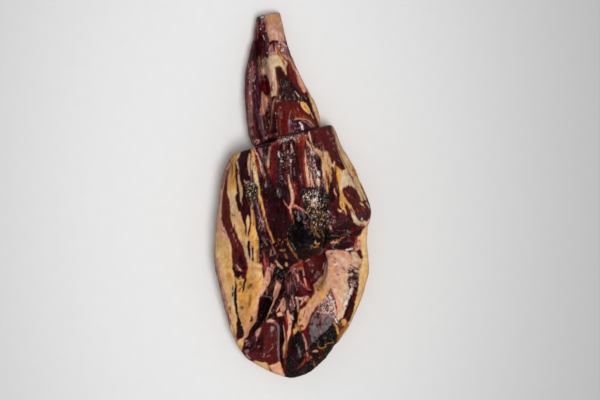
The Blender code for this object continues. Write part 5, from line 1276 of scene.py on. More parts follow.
    ("right rim foot", "ochre", 0.9, ((347.6, 325, 1), (343.4, 330, 1.6), (335.6, 342, 1.2))),
    ("right rim foot edge", "gold", 0.6, ((349, 326.4, 0.4), (337, 343, 0.6)), 0.9, 3.0),
    ("pink pad", "peach", 1.0, (
        (327, 251), (345, 251), (350, 255), (351, 262), (349, 268), (348, 284), (349.4, 290), (347, 297),
        (346.4, 303), (342.4, 314), (342, 318), (337, 319), (336.4, 313), (339.6, 306), (337, 300),
        (334, 295), (332, 290), (328, 274), (328, 262),
    )),
    ("pink pad blush", "blush", 1.6, (
        (338, 258), (346, 257), (348, 264), (344, 276), (346, 290), (344, 304), (340, 300), (340, 284),
        (336, 270),
    ), 0.75, 5.0),
    ("pink pad cream", "cream", 1.2, (
        (344, 258, 1.4), (346, 265, 1.2), (346, 292, 1.8), (344.6, 302, 1.2),
    ), 0.6, 2.2),
    ("pink pad salmon", "rose", 1.6, ((343.6, 266, 0.6), (344.4, 272, 1)), 0.35, 2.0),
    ("pink pad orange", "amber", 1.4, ((333, 266, 1.4), (336, 289, 1.4)), 0.45, 3.0),
    ("pink pad blotches", "cream", 1.2, (
        (328, 252), (346, 252), (350, 262), (348, 284), (344, 308), (338, 300), (331, 284),
    ), 0.22, 2.6),
    ("pink pad flecks", "clay", 0.9, (
        (328, 253), (346, 254), (344, 290), (334, 290), (330, 280),
    ), 0.14, 1.6),
    ("pink pad vein", "rose", 1.2, ((331.4, 255, 0.4), (334.4, 258.4, 0.7), (335.4, 263.6, 0.4)), 0.5, 1.4),
    ("pink pad vein low", "rose", 1.2, ((335.4, 270, 0.4), (338.6, 277.6, 0.4)), 0.5, 1.4),
    ("pink pad straw", "straw", 1.6, ((342, 284, 1.4), (343.6, 292, 1.6), (342, 300, 1)), 0.5, 2.4),
    ("pink pad white", "white", 0.5, ((334.4, 264.6, 0.8), (337, 263.6, 0.6))),
    ("pink pad salt", "white", 0.4, (
        (346, 282), (350, 288), (346, 302), (342, 316), (338, 318), (341, 300),
    ), 0.2, 1.1),
    ("pink pad grey", "plum", 0.5, ((338.5, 275, 0.8),)),
    ("pink pad flame", "flame", 0.6, ((331.5, 253.5, 1),)),
    ("pink pad foot", "cream", 0.7, ((338, 313, 1), (341, 316, 1.6), (338.4, 318.4, 1)), 0.75, 1.5),
    ("pad edge orange", "rust", 0.5, ((335.5, 298, 0.4), (338.8, 305, 0.6), (337.4, 314, 0.5))),
    ("dark patch high", "brown", 0.8, (
        (350, 266), (354, 266), (357, 268), (358, 272), (355, 279), (350, 279), (349, 273),
    )),
    ("dark patch mauve", "mauve", 0.6, ((349, 265), (357, 267), (358, 279), (349, 279)), 0.4, 1.3),
    ("dark patch cream", "cream", 0.5, ((349, 263), (359, 265), (359, 276), (349, 276)), 0.3, 1.1),
    ("dark patch dots", "cream", 0.5, ((350.4, 274.4, 0.9), (352, 275, 0.5))),
    ("dark patch low", "plum", 0.7, (
        (348, 278), (358, 277), (358, 285), (357, 290), (352, 291), (349, 286),
    )),
    ("dark patch bloom", "blush", 0.5, ((349, 280), (357, 280), (357, 289), (351, 289)), 0.4, 1.1),
    ("dark patch nicks", "crust", 0.5, ((348, 278), (358, 278), (358, 290), (350, 290)), 0.2, 1.4),
    ("cream band", "cream", 0.7, ((352, 253, 0.9), (356, 260, 1.6), (361, 262.6, 0.9))),
    ("right dark strip", "wine", 0.7, (
        (357.6, 284), (358, 288), (357, 294), (355, 301), (354, 308), (350, 319), (348, 321), (346, 318),
        (344, 316), (345, 310), (347, 304), (350, 299), (355.6, 288),
    )),
    ("right dark strip red", "garnet", 0.9, (
        (356, 291, 0.8), (352.6, 301, 1.6), (349.6, 311, 1.6), (348, 318, 0.8),
    ), 0.5, 3.0),
    ("right grey edge", "cream", 0.7, (
        (352.6, 288, 1), (351, 292, 1.4), (348, 298, 1.1), (342.4, 317, 0.8),
    ), 0.7, 1.4),
    # Painted highlight along the pad's right edge.
    ("right white edge", "white", 0.5, (
        (351, 288), (354, 289), (351, 295), (347.6, 302), (344.6, 310), (342.6, 312), (346, 298),
    ), 0.35, 1.2),
    ("foot orange", "amber", 0.7, ((341.4, 320), (345, 319.4), (346.6, 322), (345, 325), (342, 325))),
    ("butt face", "maroon", 0.8, (
        (250, 335), (260, 328), (263, 324), (267, 321.5), (273, 322), (277, 323), (279, 326), (279.6, 345),
        (280.6, 364), (269, 366), (254, 361), (244, 354), (242, 348), (246, 343),
    )),
    ("butt face dark", "wine", 1.6, (
        (246, 338), (254, 333), (262, 330), (262, 356), (246, 356), (243, 348),
    ), 0.6, 5.0),
    ("butt triangle", "blush", 0.8, (
        (255.4, 331.6), (260.2, 327.8), (259.8, 332), (258.2, 336), (256.8, 337),
    ), 0.9, 2.0),
    ("butt triangle tail", "mauve", 0.5, ((257, 337, 0.6), (256.2, 341.6, 0.4))),
    ("butt vein one", "plum", 0.5, (
        (251, 335, 0.6), (254, 340, 0.6), (255.4, 345, 0.5), (251.4, 350, 0.4),
    )),
    ("butt vein two", "mauve", 0.4, ((268, 352, 0.4), (273, 347, 0.6))),
    ("butt vein three", "mauve", 0.4, ((267, 357, 0.4), (269.4, 355, 0.5))),
    ("butt red dot", "rose", 0.7, ((258.5, 346.4, 1.1),)),
    ("butt dot", "silver", 0.4, ((272.5, 345, 0.7),)),
    ("butt bloom", "mauve", 0.8, ((261, 353), (264.4, 353), (264, 358), (261.4, 357)), 0.3, 1.2),
    ("butt left bloom", "mauve", 0.7, ((244.6, 351), (248, 349.4), (249, 352), (246.6, 354.6))),
    ("butt left flecks", "mauve", 0.6, ((244, 339), (249, 341), (249.4, 346), (245, 346)), 0.5, 1.3),
    ("butt left foot", "tan", 0.6, ((246.4, 355.4, 0.8), (249.6, 358, 0.9))),
    ("butt edge", "silver", 0.5, (
        (266.6, 321, 0.7), (275, 323, 0.8), (278, 326, 0.9), (278.7, 333, 0.9), (278.6, 355, 0.7),
        (279.4, 361, 0.5),
    )),
    ("butt edge pink", "mauve", 0.5, ((278.2, 336, 0.4), (278.4, 350, 0.5))),
    ("butt wedge", "peach", 0.7, ((266.6, 321), (269.6, 319.4), (273.6, 320), (275, 321.6), (270, 322))),
    ("butt band", "black", 0.7, ((280.4, 317, 1), (281.2, 328, 1.5), (282, 362, 1.5), (283.6, 374, 1))),
    ("bottom fat", "straw", 0.7, (
        (254, 361.4), (258, 361.4), (262, 362.6), (266, 362.4), (268, 365.6), (271, 365), (276, 363),
        (279.5, 361.5), (281, 365), (283, 371), (284.5, 377.6), (278, 376.6), (262, 368.4),
    )),
    ("bottom fat peach", "peach", 0.8, (
        (272, 366), (279, 363), (281, 367), (284, 375), (277, 373), (272, 370),
    )),
    ("bottom fat ochre", "ochre", 0.7, ((268.8, 366, 0.7), (270.4, 369.6, 1.1), (272, 371.6, 0.6))),
    ("bottom fat gold", "gold", 0.6, ((274, 373.4, 0.5), (283.4, 376.2, 0.7))),
    ("bottom fat flame", "flame", 0.6, ((271, 364.6, 0.4), (279.4, 361.4, 0.5))),
    ("centre strand", "peach", 0.6, (
        (287, 304, 0.5), (287.4, 311, 0.9), (289, 317, 1.7), (290, 322, 1.6), (288.4, 335, 1.5),
        (286.6, 340, 1.5), (285.2, 346, 2), (284.8, 357, 1.1),
    )),
    ("centre wall", "mauve", 0.8, ((290.6, 300, 0.8), (292, 307, 1.4), (293, 314, 1.2)), 0.75, 1.8),
    ("centre wall right", "clay", 0.8, ((297, 299, 0.8), (297.6, 305, 1), (298.2, 311, 0.6)), 0.85, 1.8),
    ("centre strand rust", "rust", 0.9, (
        (286.6, 334, 1), (286.2, 348, 0.7), (285, 357, 0.9), (285.6, 364, 0.8),
    )),
    ("centre strand amber", "amber", 0.6, ((285.4, 342, 0.8), (284.6, 353, 0.8))),
    ("centre strand high", "cream", 0.6, ((289.6, 315, 0.6), (292, 316.6, 1.1), (293, 319, 0.7))),
    ("centre strand ochre", "ochre", 0.5, ((291.4, 318.6, 0.7),)),
    # Painted shade in a hole in the strand.
    ("centre strand hole", "black", 0.5, ((289.8, 324, 0.8),)),
    ("side strand", "peach", 0.5, ((283, 326, 0.4), (285.2, 338, 0.5))),
    ("side red", "garnet", 0.7, ((285.6, 317, 0.6), (286.6, 325, 1), (287, 331, 0.7))),
    ("side rose", "rose", 0.6, ((285, 315, 0.5), (286.6, 319, 1), (287.6, 323, 0.5)), 0.8, 2.0),
    ("pink strip", "peach", 0.5, ((283.4, 298, 0.4), (281.6, 302, 0.8), (276.6, 311, 0.5))),
    ("pink patch", "clay", 0.6, (
        (282, 300.6), (284.6, 300), (285.4, 306), (285, 311.4), (281, 311.4), (280.4, 307),
    )),
    ("pink patch mauve", "mauve", 0.7, ((283.4, 301, 0.7), (283, 305, 0.8))),
    ("grey strip", "plum", 0.6, ((286, 299, 0.8), (287, 304, 1.2), (286.8, 310, 0.7))),
    ("peach oval", "peach", 0.7, (
        (277, 314), (278.6, 312.4), (281, 311.8), (284, 313), (283.6, 315.4), (280, 316.6), (277.8, 316),
    )),
    ("rose oval", "rose", 0.6, ((282.4, 313, 1), (284, 315, 0.9))),
    ("centre pale", "blush", 0.4, ((292, 296, 0.4), (294.6, 307, 0.4))),
    ("centre white", "white", 0.5, ((296.2, 298, 0.9),)),
    ("centre white low", "white", 0.4, ((290.4, 304.6, 0.6),)),
    ("centre mauve", "mauve", 0.6, ((296.4, 300, 0.8), (297, 305, 0.9)), 0.85, 1.8),
    ("centre rose", "peach", 0.8, (
        (298.6, 298, 0.8), (303, 299, 1.6), (306.6, 298, 1.2), (301, 304, 0.9),
    ), 0.8, 2.0),
    ("centre dark line", "black", 0.6, ((295.2, 308, 0.5), (295.2, 316, 1), (292.4, 330, 0.8))),
    ("teardrop", "amber", 0.6, (
        (296, 324), (297.2, 330), (295.4, 337), (293.6, 333), (293, 330), (295, 328),
    )),
    ("dark hollow", "crust", 0.9, (
        (289, 338), (293, 336), (298, 331), (303, 333), (306, 345), (306, 354), (303, 362), (298, 370),
        (291, 375), (286, 376), (286, 366), (287.6, 352),
    )),
    ("dark hollow wine", "wine", 1.0, (
        (290, 340), (303, 336), (305, 352), (298, 368), (288, 372),
    ), 0.5, 3.0),
    ("dark hollow dot", "rose", 0.5, ((296.5, 346, 0.9),)),
    ("dark hollow thread", "silver", 0.5, ((298.4, 348, 0.6), (300.6, 357, 0.4))),
    ("hollow strand", "clay", 0.9, ((302, 331, 0.3), (305.4, 342, 0.9), (306.8, 353, 0.6)), 0.85, 2.4),
    ("hollow strand low", "clay", 0.9, (
        (306.8, 353, 0.7), (309, 356, 0.9), (311.4, 357.6, 0.8), (315, 358.4, 0.5),
    ), 0.8, 1.8),
    ("hollow tan", "rust", 0.9, (
        (304, 354), (307, 356), (311, 358), (310, 362), (306, 361), (304, 359),
    ), 0.6, 1.6),
    ("hollow tan line", "rust", 0.6, ((304.6, 360, 0.6), (302, 365, 1), (296, 372, 0.8), (293, 374, 0.5))),
    ("scaly dome", "plum", 0.8, (
        (329.8, 288), (331, 291), (334.5, 301), (336, 313), (334, 323), (324, 334), (320, 338), (317, 345),
        (314, 352), (309.6, 351), (308.4, 342), (308, 334), (309.6, 318), (312.6, 312), (317, 307),
        (328, 292),
    )),
    # The silver, white and pale flecks of the scaly dome are painted highlights on its crinkled grey skin.
    ("scaly dome grey", "silver", 1.6, (
        (315, 314), (322, 304), (330, 296), (334, 306), (334, 320), (326, 330), (318, 336), (311, 338),
        (311, 324),
    ), 0.6, 3.0),
    ("scaly dome bloom", "mauve", 0.6, (
        (329, 292), (334, 300), (335, 314), (330, 326), (322, 334), (314, 346), (310, 340), (310.6, 320),
        (317, 308),
    ), 0.22, 1.1),
    ("scaly dome dark", "brown", 0.6, (
        (317, 306), (324, 298), (333, 297), (334, 312), (322, 322), (314, 326), (312, 316),
    ), 0.22, 1.2),
    ("scaly dome right", "beige", 0.8, ((333, 302, 0.6), (334.8, 308, 0.9), (335, 315, 0.8)), 0.7, 1.2),
    ("scaly dome low light", "silver", 1.2, ((329, 324, 0.8), (326, 329, 1.2), (322, 333, 1)), 0.75, 1.4),
    ("scaly dome cream", "blush", 0.4, (
        (318, 307), (323, 299), (330, 291), (335, 302), (336, 316), (331, 318), (324, 313), (318, 313),
    ), 0.38, 0.8),
    ("scaly dome silver", "silver", 0.4, (
        (311, 318), (330, 316), (334, 320), (322, 334), (312, 342),
    ), 0.24, 0.9),
    ("scaly dome white", "white", 0.4, (
        (324, 303), (335, 301), (336, 316), (330, 314), (322, 312),
    ), 0.2, 0.8),
    ("scaly dome top white", "white", 0.5, ((329.4, 296.4, 1), (331, 298.6, 0.7)), 0.85, 1.5),
    ("scaly dome peach", "peach", 0.6, ((322.4, 311), (326, 310.4), (326, 314), (322.6, 314)), 0.7, 1.4),
    ("scaly dome rose", "mauve", 0.7, ((321, 314), (325.6, 314), (325, 319), (321.4, 318)), 0.8, 1.6),
    ("scaly dome nick", "garnet", 0.5, ((327, 304, 0.5), (326.4, 307.4, 0.6))),
    ("scaly dome streak", "silver", 0.6, ((311, 330, 0.8), (312, 337, 1), (314, 341, 0.6))),
    ("dome peach band", "peach", 0.6, ((333, 291, 0.7), (338.4, 305, 1.4), (337.4, 312, 1))),
    ("char", "crust", 0.9, (
        (335, 323), (336.4, 330), (337, 337), (336, 345), (333, 352), (319, 367), (309, 374), (300, 378),
        (290, 379), (286, 374), (292, 372), (300, 368), (306, 363), (312, 358), (309, 352), (312, 343),
        (326, 331), (331, 326),
    )),
    ("char black", "black", 1.0, ((316, 342), (332, 330), (335, 340), (322, 356), (312, 358)), 0.5, 4.0),
    ("char wine", "wine", 1.0, (
        (312, 350), (328, 346), (322, 360), (308, 368), (300, 372), (306, 362),
    ), 0.45, 2.6),
    ("char red", "garnet", 1.0, ((312, 352, 0.6), (320, 352, 1), (326, 350, 0.6)), 0.4, 3.0),
    ("char brown", "brown", 1.0, (
        (334, 344, 0.8), (327, 354, 1.4), (309, 368, 1.2), (298, 373, 0.8),
    ), 0.6, 3.0),
    ("char gold vein", "ochre", 0.5, (
        (318.6, 343, 0.4), (318, 346.4, 0.7), (321, 348, 0.8), (325.6, 347, 0.7), (326, 344.4, 0.6),
        (333.6, 342.2, 0.5),
    )),
    ("char tan", "tan", 0.6, ((312.4, 351.6), (315, 350), (317.6, 349.8), (318.6, 351.4), (315, 352.4))),
    ("char dot", "ochre", 0.5, ((325.4, 338, 0.8),)),
    ("char flecks", "ochre", 0.4, ((316, 354), (330, 342), (334, 346), (320, 362), (308, 368)), 0.04, 0.9),
    ("char line", "ochre", 0.5, ((313.4, 361, 0.4), (314.6, 366, 0.6))),
    ("char olive", "olive", 0.7, ((338, 321), (341, 322), (343, 326), (341, 330), (338, 327)), 0.8, 1.6),
    ("char amber line", "amber", 0.6, ((334.4, 322.6, 0.7), (336.6, 328, 1), (338.2, 333.6, 0.9))),
    ("char white", "white", 0.5, ((335, 318), (339, 319), (338, 323), (335, 322)), 0.5, 1.3),
    # Painted shade in the groove beside the left pad.
    ("pad groove", "wine", 0.8, (
        (262, 296), (268, 296.6), (272, 298), (270, 306), (266, 320), (256, 330), (251, 335), (249, 334),
        (250, 330), (254, 325), (257, 318), (259, 303),
    )),
    ("pad groove depth", "black", 1.4, ((268, 300, 1.6), (264, 312, 2.4), (259, 322, 1.8), (253, 331, 1))),
    ("pad groove high", "wine", 0.7, (
        (268.6, 285), (272, 283), (273, 292), (272, 298), (262, 296), (265, 292),
    )),
    ("pad groove stripe", "mauve", 0.5, ((266, 284, 0.5), (267, 294, 0.8))),
    ("pad groove line", "silver", 0.4, (
        (261, 295, 0.3), (267, 296.4, 0.5), (271, 297.6, 0.5), (272.4, 301, 0.3),
    )),
    # Painted light: the steep left rim painted in paler fat than its own.
    ("left rim light", "lit_fat", 2.0, ((217, 234, 1.4), (216.8, 246, 1.8), (218, 258, 1.4)), 0.85, 6.0),
    ("left rim light low", "peach", 2.0, ((219.4, 262, 1), (226, 290, 1)), 0.7, 6.0),
)

Mark = namedtuple("Mark", "name finish soft pixels share fleck", defaults=(1.0, 2.0))

# The height of each solid's rim above the floor, in millimetres, and how far along the ham that is.
BODY_RIM = ((110, 33), (0, 37), (-120, 36), (-220, 30), (-280, 24))
SHANK_RIM = ((292, 15), (200, 19), (120, 26), (60, 27))

# How far the sawn end of the shank is drawn out, and from where to where along the ham that sets in.
STUMP_PULL = 3.5 * MM
STUMP_REACH = (225 * MM, 275 * MM)

# Where the smoothing has drawn the outline in: the ends of each such length, and how far it is drawn out
# again, in pixels. The pull fades out from EDGE_REACH[1] to EDGE_REACH[0] pixels away.
EDGE_PULLS = (
    ((292.0, 378.0), (332.0, 352.0), 2.0),
    ((315.0, 104.0), (322.0, 120.0), 2.4),
    ((364.0, 188.0), (374.0, 222.0), 1.3),
    ((367.0, 236.0), (369.0, 278.0), 1.2),
)
EDGE_REACH = (9.0, 1.0)

# How far each piece leans over the slit between them, how near to the slit that sets in, and between which
# places from the left.
SLIT_PULL = 1.4 * MM
SLIT_REACH = (8 * MM, 1 * MM)
SLIT_START = (-34 * MM, -24 * MM)

# The ham keeps its shape at the floor and at the slit. The relief sets in between these distances from
# them.
FLOOR_HOLD = (1.5 * MM, 9.0 * MM)
SLIT_HOLD = (1.5 * MM, 6.0 * MM)

# The rind sets in between these heights, counted from the rim, and as the skin's upward tilt falls from the
# first of these shares to the second.
RIND_HEIGHTS = (-2.0 * MM, -5.0 * MM)
RIND_TILTS = (0.35, 0.15)

# The mesh: faces whose upward tilt is over SEEN_TILT get cells half as wide. Corners nearer than WELD
# become one, and the cells are softened this strongly, so many times before that and so many times after.
SEEN_TILT = 0.35
WELD = 0.01 * MM
SOFTENING, CELL_SOFTENINGS, LAST_SOFTENINGS = 0.5, 8, 3

# How far the edges of the marks wander, and over what distance, in pixels.
WANDER = ((0.40, 4.0), (0.30, 1.7))

# The least softness of an edge, how much of a mark's softness shows, and how sharp the edges of flecks are.
EDGE_LEAST = 0.45
EDGE_SHARE = 0.7
FLECK_EDGE = 0.07

# How strongly the red line beside fat shows, and where it runs, in pixels from the fat's edge.
FRINGE_COVER = 0.7
FRINGE_REACH = (-1.5, 0.3)


def smooth_step(low, high, value):
    """Rises from 0 at low to 1 at high, without corners."""
    share = np.clip((value - low) / (high - low), 0.0, 1.0)
    return share * share * (3.0 - 2.0 * share)


def noise(points, name, size=1.0):
    """Soft random values from 0 to 1, in blobs of the given size, the same on each run for the same name."""
    cells = 32
    table = np.random.default_rng(zlib.crc32(name.encode())).random((cells,) * 3)
    place = points / size
    corner = np.floor(place).astype(int)
    part = place - corner
    part = part * part * (3.0 - 2.0 * part)
    total = np.zeros(len(points))
    for step in itertools.product((0, 1), repeat=3):
        near = (corner + step) % cells
        weight = np.prod(np.where(step, part, 1.0 - part), axis=1)
        total += weight * table[near[:, 0], near[:, 1], near[:, 2]]
    return total


def layered(points, layers, middle=0.0):
    """The sum of some layers of soft random values, each of them counted from the middle."""
    return sum(layer.weight * (noise(points / layer.size, layer.name) - middle) for layer in layers)


def photo_pixels(points):
    """Where each point of the ham shows in the photograph."""
    nearer = (CAMERA_HEIGHT - OUTLINE_HEIGHT) / (CAMERA_HEIGHT - points[:, 2])
    across = FRAME_WIDE / 2 + (points[:, 0] - VIEW_CENTRE.x) * nearer / PIXEL
    down = FRAME_TALL / 2 - (points[:, 1] - VIEW_CENTRE.y) * nearer / PIXEL
    return np.column_stack((across, down))


def grain_from(kind, pixels, heights):
    """Each point's place across the grain, along it and upwards, and how far it is drawn out, in pixels."""
    apart = pixels - kind.fan
    along = np.hypot(apart[:, 0], apart[:, 1])
    across = np.arctan2(apart[:, 0], apart[:, 1]) * np.median(along)
    level = np.column_stack((pixels, heights / PIXEL))
    across = across + layered(level, GRAIN_WAVES)
    place = np.column_stack((across, along, heights / PIXEL))
    return place, apart * (kind.feather * (2.0 * layered(place, RAGGED_ENDS) - 1.0) / along)[:, None]


def bent(corners, closed):
    """A smooth line through the corners, with three points more between each two."""
    points = np.array(corners, float)
    count = len(points)
    if count == 1:
        return np.vstack((points, points))
    if count == 2:
        return points
    line = []
    for index in range(count if closed else count - 1):
        four = [index - 1, index, index + 1, index + 2]
        four = [i % count for i in four] if closed else [min(max(i, 0), count - 1) for i in four]
        a, b, c, d = points[four]
        for t in (0.0, 0.25, 0.5, 0.75):
            turn = (2 * a - 5 * b + 4 * c - d) * t**2 + (3 * b - a - 3 * c + d) * t**3
            line.append(0.5 * (2 * b + (c - a) * t + turn))
    if not closed:
        line.append(points[-1])
    return np.array(line)


def nearest(pixels, start, end):
    """How far along the line from start to end the place nearest to each pixel is, and its distance."""
    run = end[:2] - start[:2]
    part = np.clip((pixels - start[:2]) @ run / max(run @ run, 1e-9), 0.0, 1.0)
    apart = pixels - start[:2] - part[:, None] * run
    return part, np.hypot(apart[:, 0], apart[:, 1])


def streak_depth(pixels, line):
    """How deep inside a streak each pixel lies, below 0 outside it."""
    depth = np.full(len(pixels), -np.inf)
    for start, end in zip(line[:-1], line[1:]):
        part, away = nearest(pixels, start, end)
        depth = np.maximum(depth, start[2] + part * (end[2] - start[2]) - away)
    return depth


def patch_depth(pixels, outline):
    """How deep inside a closed patch each pixel lies, below 0 outside it."""
    inside = np.zeros(len(pixels), bool)
    edge = np.full(len(pixels), np.inf)
    for start, end in zip(outline, np.roll(outline, -1, axis=0)):
        edge = np.minimum(edge, nearest(pixels, start, end)[1])
        if start[1] != end[1]:
            level = (pixels[:, 1] - start[1]) / (end[1] - start[1])
            crossed = (start[1] > pixels[:, 1]) != (end[1] > pixels[:, 1])
            inside ^= crossed & (pixels[:, 0] < start[0] + level * (end[0] - start[0]))
    return np.where(inside, edge, -edge)


def linear(screen):
    """The light that a screen colour from 0 to 1 stands for."""
    screen = np.asarray(screen, float)
    return np.where(screen <= 0.04045, screen / 12.92, ((screen + 0.055) / 1.055) ** 2.4)


class Skin:
    """The colour, the finish and the relief at each point of one piece's surface."""

    def __init__(self, pixels, grain, drawn, colours):
        self.pixels = pixels
        self.grain = grain
        self.colours = colours
        self.colour = np.zeros((len(pixels), 3))
        self.finish = np.zeros((len(pixels), 4))
        self.fat = np.zeros(len(pixels))
        self.strands = smooth_step(0.32, 0.68, layered(grain, STRANDS))
        level = np.column_stack((pixels, grain[:, 2]))
        self.blotches = smooth_step(0.30, 0.70, layered(level, BLOTCHES))
        self.patches = layered(level, PATCHES, 0.5)
        self.wandered = pixels + drawn
        for reach, size in WANDER:
            for axis in (0, 1):
                self.wandered[:, axis] += reach * (2.0 * noise(level, f"wander {axis} {size}", size) - 1.0)
        self.softness = EDGE_LEAST + layered(level, SOFTNESS)
        self.fringe = smooth_step(0.35, 0.70, layered(level, FRINGES))

    def lay(self, look, cover):
        """Lays a finish over the surface, as thickly as cover says."""
        finish = FINISHES[look]
        light = linear(self.colours[look])
        dark = light * np.array(finish.shade) ** 2.2
        depth = self.blotches + (self.strands - self.blotches) * finish.fibre
        mixed = light + (dark - light) * depth[:, None]
        mixed = mixed * (1.0 + self.patches[:, None])
        self.colour += (mixed - self.colour) * cover[:, None]
        self.fat += (float(look in FATS) - self.fat) * cover
        self.finish += (np.array(finish[1:]) - self.finish) * cover[:, None]

    def mark(self, mark):
        """Paints one mark of the tables above, and a red line beside it where it is whole fat."""
        closed = len(mark.pixels[0]) == 2
        line = bent(mark.pixels, closed)
        margin = 1.4 * mark.soft + 1.5 + (0.0 if closed else line[:, 2].max())
        low, high = line[:, :2].min(0) - margin, line[:, :2].max(0) + margin
        near = np.flatnonzero(((self.wandered > low) & (self.wandered < high)).all(1))
        if not len(near):
            return
        depth = (patch_depth if closed else streak_depth)(self.wandered[near], line)
        shown = smooth_step(-1.0, 1.0, depth / (EDGE_SHARE * mark.soft * self.softness[near]))
        if mark.share < 1.0:
            length = 1.2 + 1.6 * FINISHES[mark.finish].fibre
            flecks = noise(self.grain[near] / (0.8, length, 1.2), mark.name, mark.fleck)
            edge = np.quantile(flecks, 1.0 - mark.share)
            shown = shown * smooth_step(edge - FLECK_EDGE, edge + FLECK_EDGE, flecks)
        cover = np.zeros(len(self.pixels))
        if mark.finish in FATS and mark.share == 1.0:
            red = FRINGE_COVER * self.fringe[near] * smooth_step(*FRINGE_REACH, depth)
            cover[near] = red * (1.0 - self.fat[near])
            self.lay(FRINGE, cover)
        cover[near] = shown
        self.lay(mark.finish, cover)


def rim_height(rim, points):
    """The height in metres of the rim beside each point."""
    places = sorted((MM * along, MM * height) for along, height in rim)
    return np.interp(points[:, 1], [p[0] for p in places], [p[1] for p in places])


def slit_side(points):
    """How far each point is from the slit between the two pieces, below 0 on the body's side."""
    return (points[:, 1] - SLIT_LEFT.y) * SLIT_RUN.x - (points[:, 0] - SLIT_LEFT.x) * SLIT_RUN.y


def fine_mesh(node, voxel):
    """A smooth copy of a solid in even cells, which are half as wide where the camera looks."""
    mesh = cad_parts[node].data.copy()
    shape = bmesh.new()
    shape.from_mesh(mesh)
    bmesh.ops.remove_doubles(shape, verts=shape.verts, dist=WELD)
    shape.to_mesh(mesh)
    shape.free()
    form = bpy.data.objects.new("form", mesh)
    bpy.context.scene.collection.objects.link(form)
    cells = form.modifiers.new("Cells", "REMESH")
    cells.mode = "VOXEL"
    cells.voxel_size = voxel
    soften = form.modifiers.new("Soften", "SMOOTH")
    soften.factor = SOFTENING
    soften.iterations = CELL_SOFTENINGS
    bpy.context.view_layer.update()
    even = bpy.data.meshes.new_from_object(form.evaluated_get(bpy.context.evaluated_depsgraph_get()))
    bpy.data.objects.remove(form)
    bpy.data.meshes.remove(mesh)
    shape = bmesh.new()
    shape.from_mesh(even)
    shape.normal_update()
    seen = {edge for face in shape.faces if face.normal.z > SEEN_TILT for edge in face.edges}
    seen = [edge for edge in shape.edges if edge in seen]
    bmesh.ops.subdivide_edges(shape, edges=seen, cuts=1, use_grid_fill=True)
    for _ in range(LAST_SOFTENINGS):
        bmesh.ops.smooth_vert(
            shape, verts=shape.verts, factor=SOFTENING, use_axis_x=True, use_axis_y=True, use_axis_z=True
        )
    shape.to_mesh(even)
    shape.free()
    return even


def read_points(mesh, what):
    """The places or normals of a mesh's vertices."""
    values = np.zeros(len(mesh.vertices) * 3, np.float32)
    mesh.vertices.foreach_get(what, values)
    return values.reshape(-1, 3).astype(float)


def write_points(mesh, points):
    """Moves a mesh's vertices to these places."""
    mesh.vertices.foreach_set("co", points.astype(np.float32).ravel())
    mesh.update()


def stump_pull(points):
    """Draws the stump out a little, which the smoothing has shortened."""
    pull = np.zeros_like(points)
    pull[:, 1] = STUMP_PULL * smooth_step(*STUMP_REACH, points[:, 1])
    return pull


def edge_pull(points):
    """Draws the outline out again where the smoothing has drawn it in."""
    pixels = photo_pixels(points)
    pull = np.zeros_like(points)
    for start, end, far in EDGE_PULLS:
        outward = np.add(start, end) / 2 - ORIGIN_PIXEL
        outward /= np.hypot(*outward)
        away = nearest(pixels, np.array(start), np.array(end))[1]
        pull[:, :2] += (far * PIXEL * smooth_step(*EDGE_REACH, away))[:, None] * outward * (1.0, -1.0)
    return pull


def slit_pull(points):
    """Closes the slit between the two pieces, except at its left end."""
    aside = slit_side(points)
    pull = SLIT_PULL * smooth_step(*SLIT_REACH, np.abs(aside)) * smooth_step(*SLIT_START, points[:, 0])
    pull *= -np.sign(aside)
    return np.column_stack((-SLIT_RUN.y * pull, SLIT_RUN.x * pull, np.zeros(len(points))))


def write_attribute(mesh, name, kind, field, values):
    """Keeps values on a mesh's vertices, for its material to read."""
    attribute = mesh.attributes.new(name, kind, "POINT")
    attribute.data.foreach_set(field, np.ascontiguousarray(values, np.float32).ravel())


def held_down(points):
    """Nearly 0 at the floor and at the slit, where the ham keeps its shape, and 1 elsewhere."""
    return smooth_step(*FLOOR_HOLD, points[:, 2]) * smooth_step(*SLIT_HOLD, np.abs(slit_side(points)))


def swell_of(points):
    """How far the bumps and dents of the meat stand out of the solid, in metres."""
    return MM * layered(points, SWELL, 0.5) * held_down(points)


def relief_of(skin, points):
    """How far fat, strands and crust stand out of the meat, in metres."""
    _, rise, crust, fibre = skin.finish.T
    rise = rise - MEAT_SINK
    rise += fibre * layered(skin.grain, STRAND_RELIEF, 0.5) + crust * layered(points, CRUST_RELIEF, 0.5)
    return MM * rise * held_down(points)


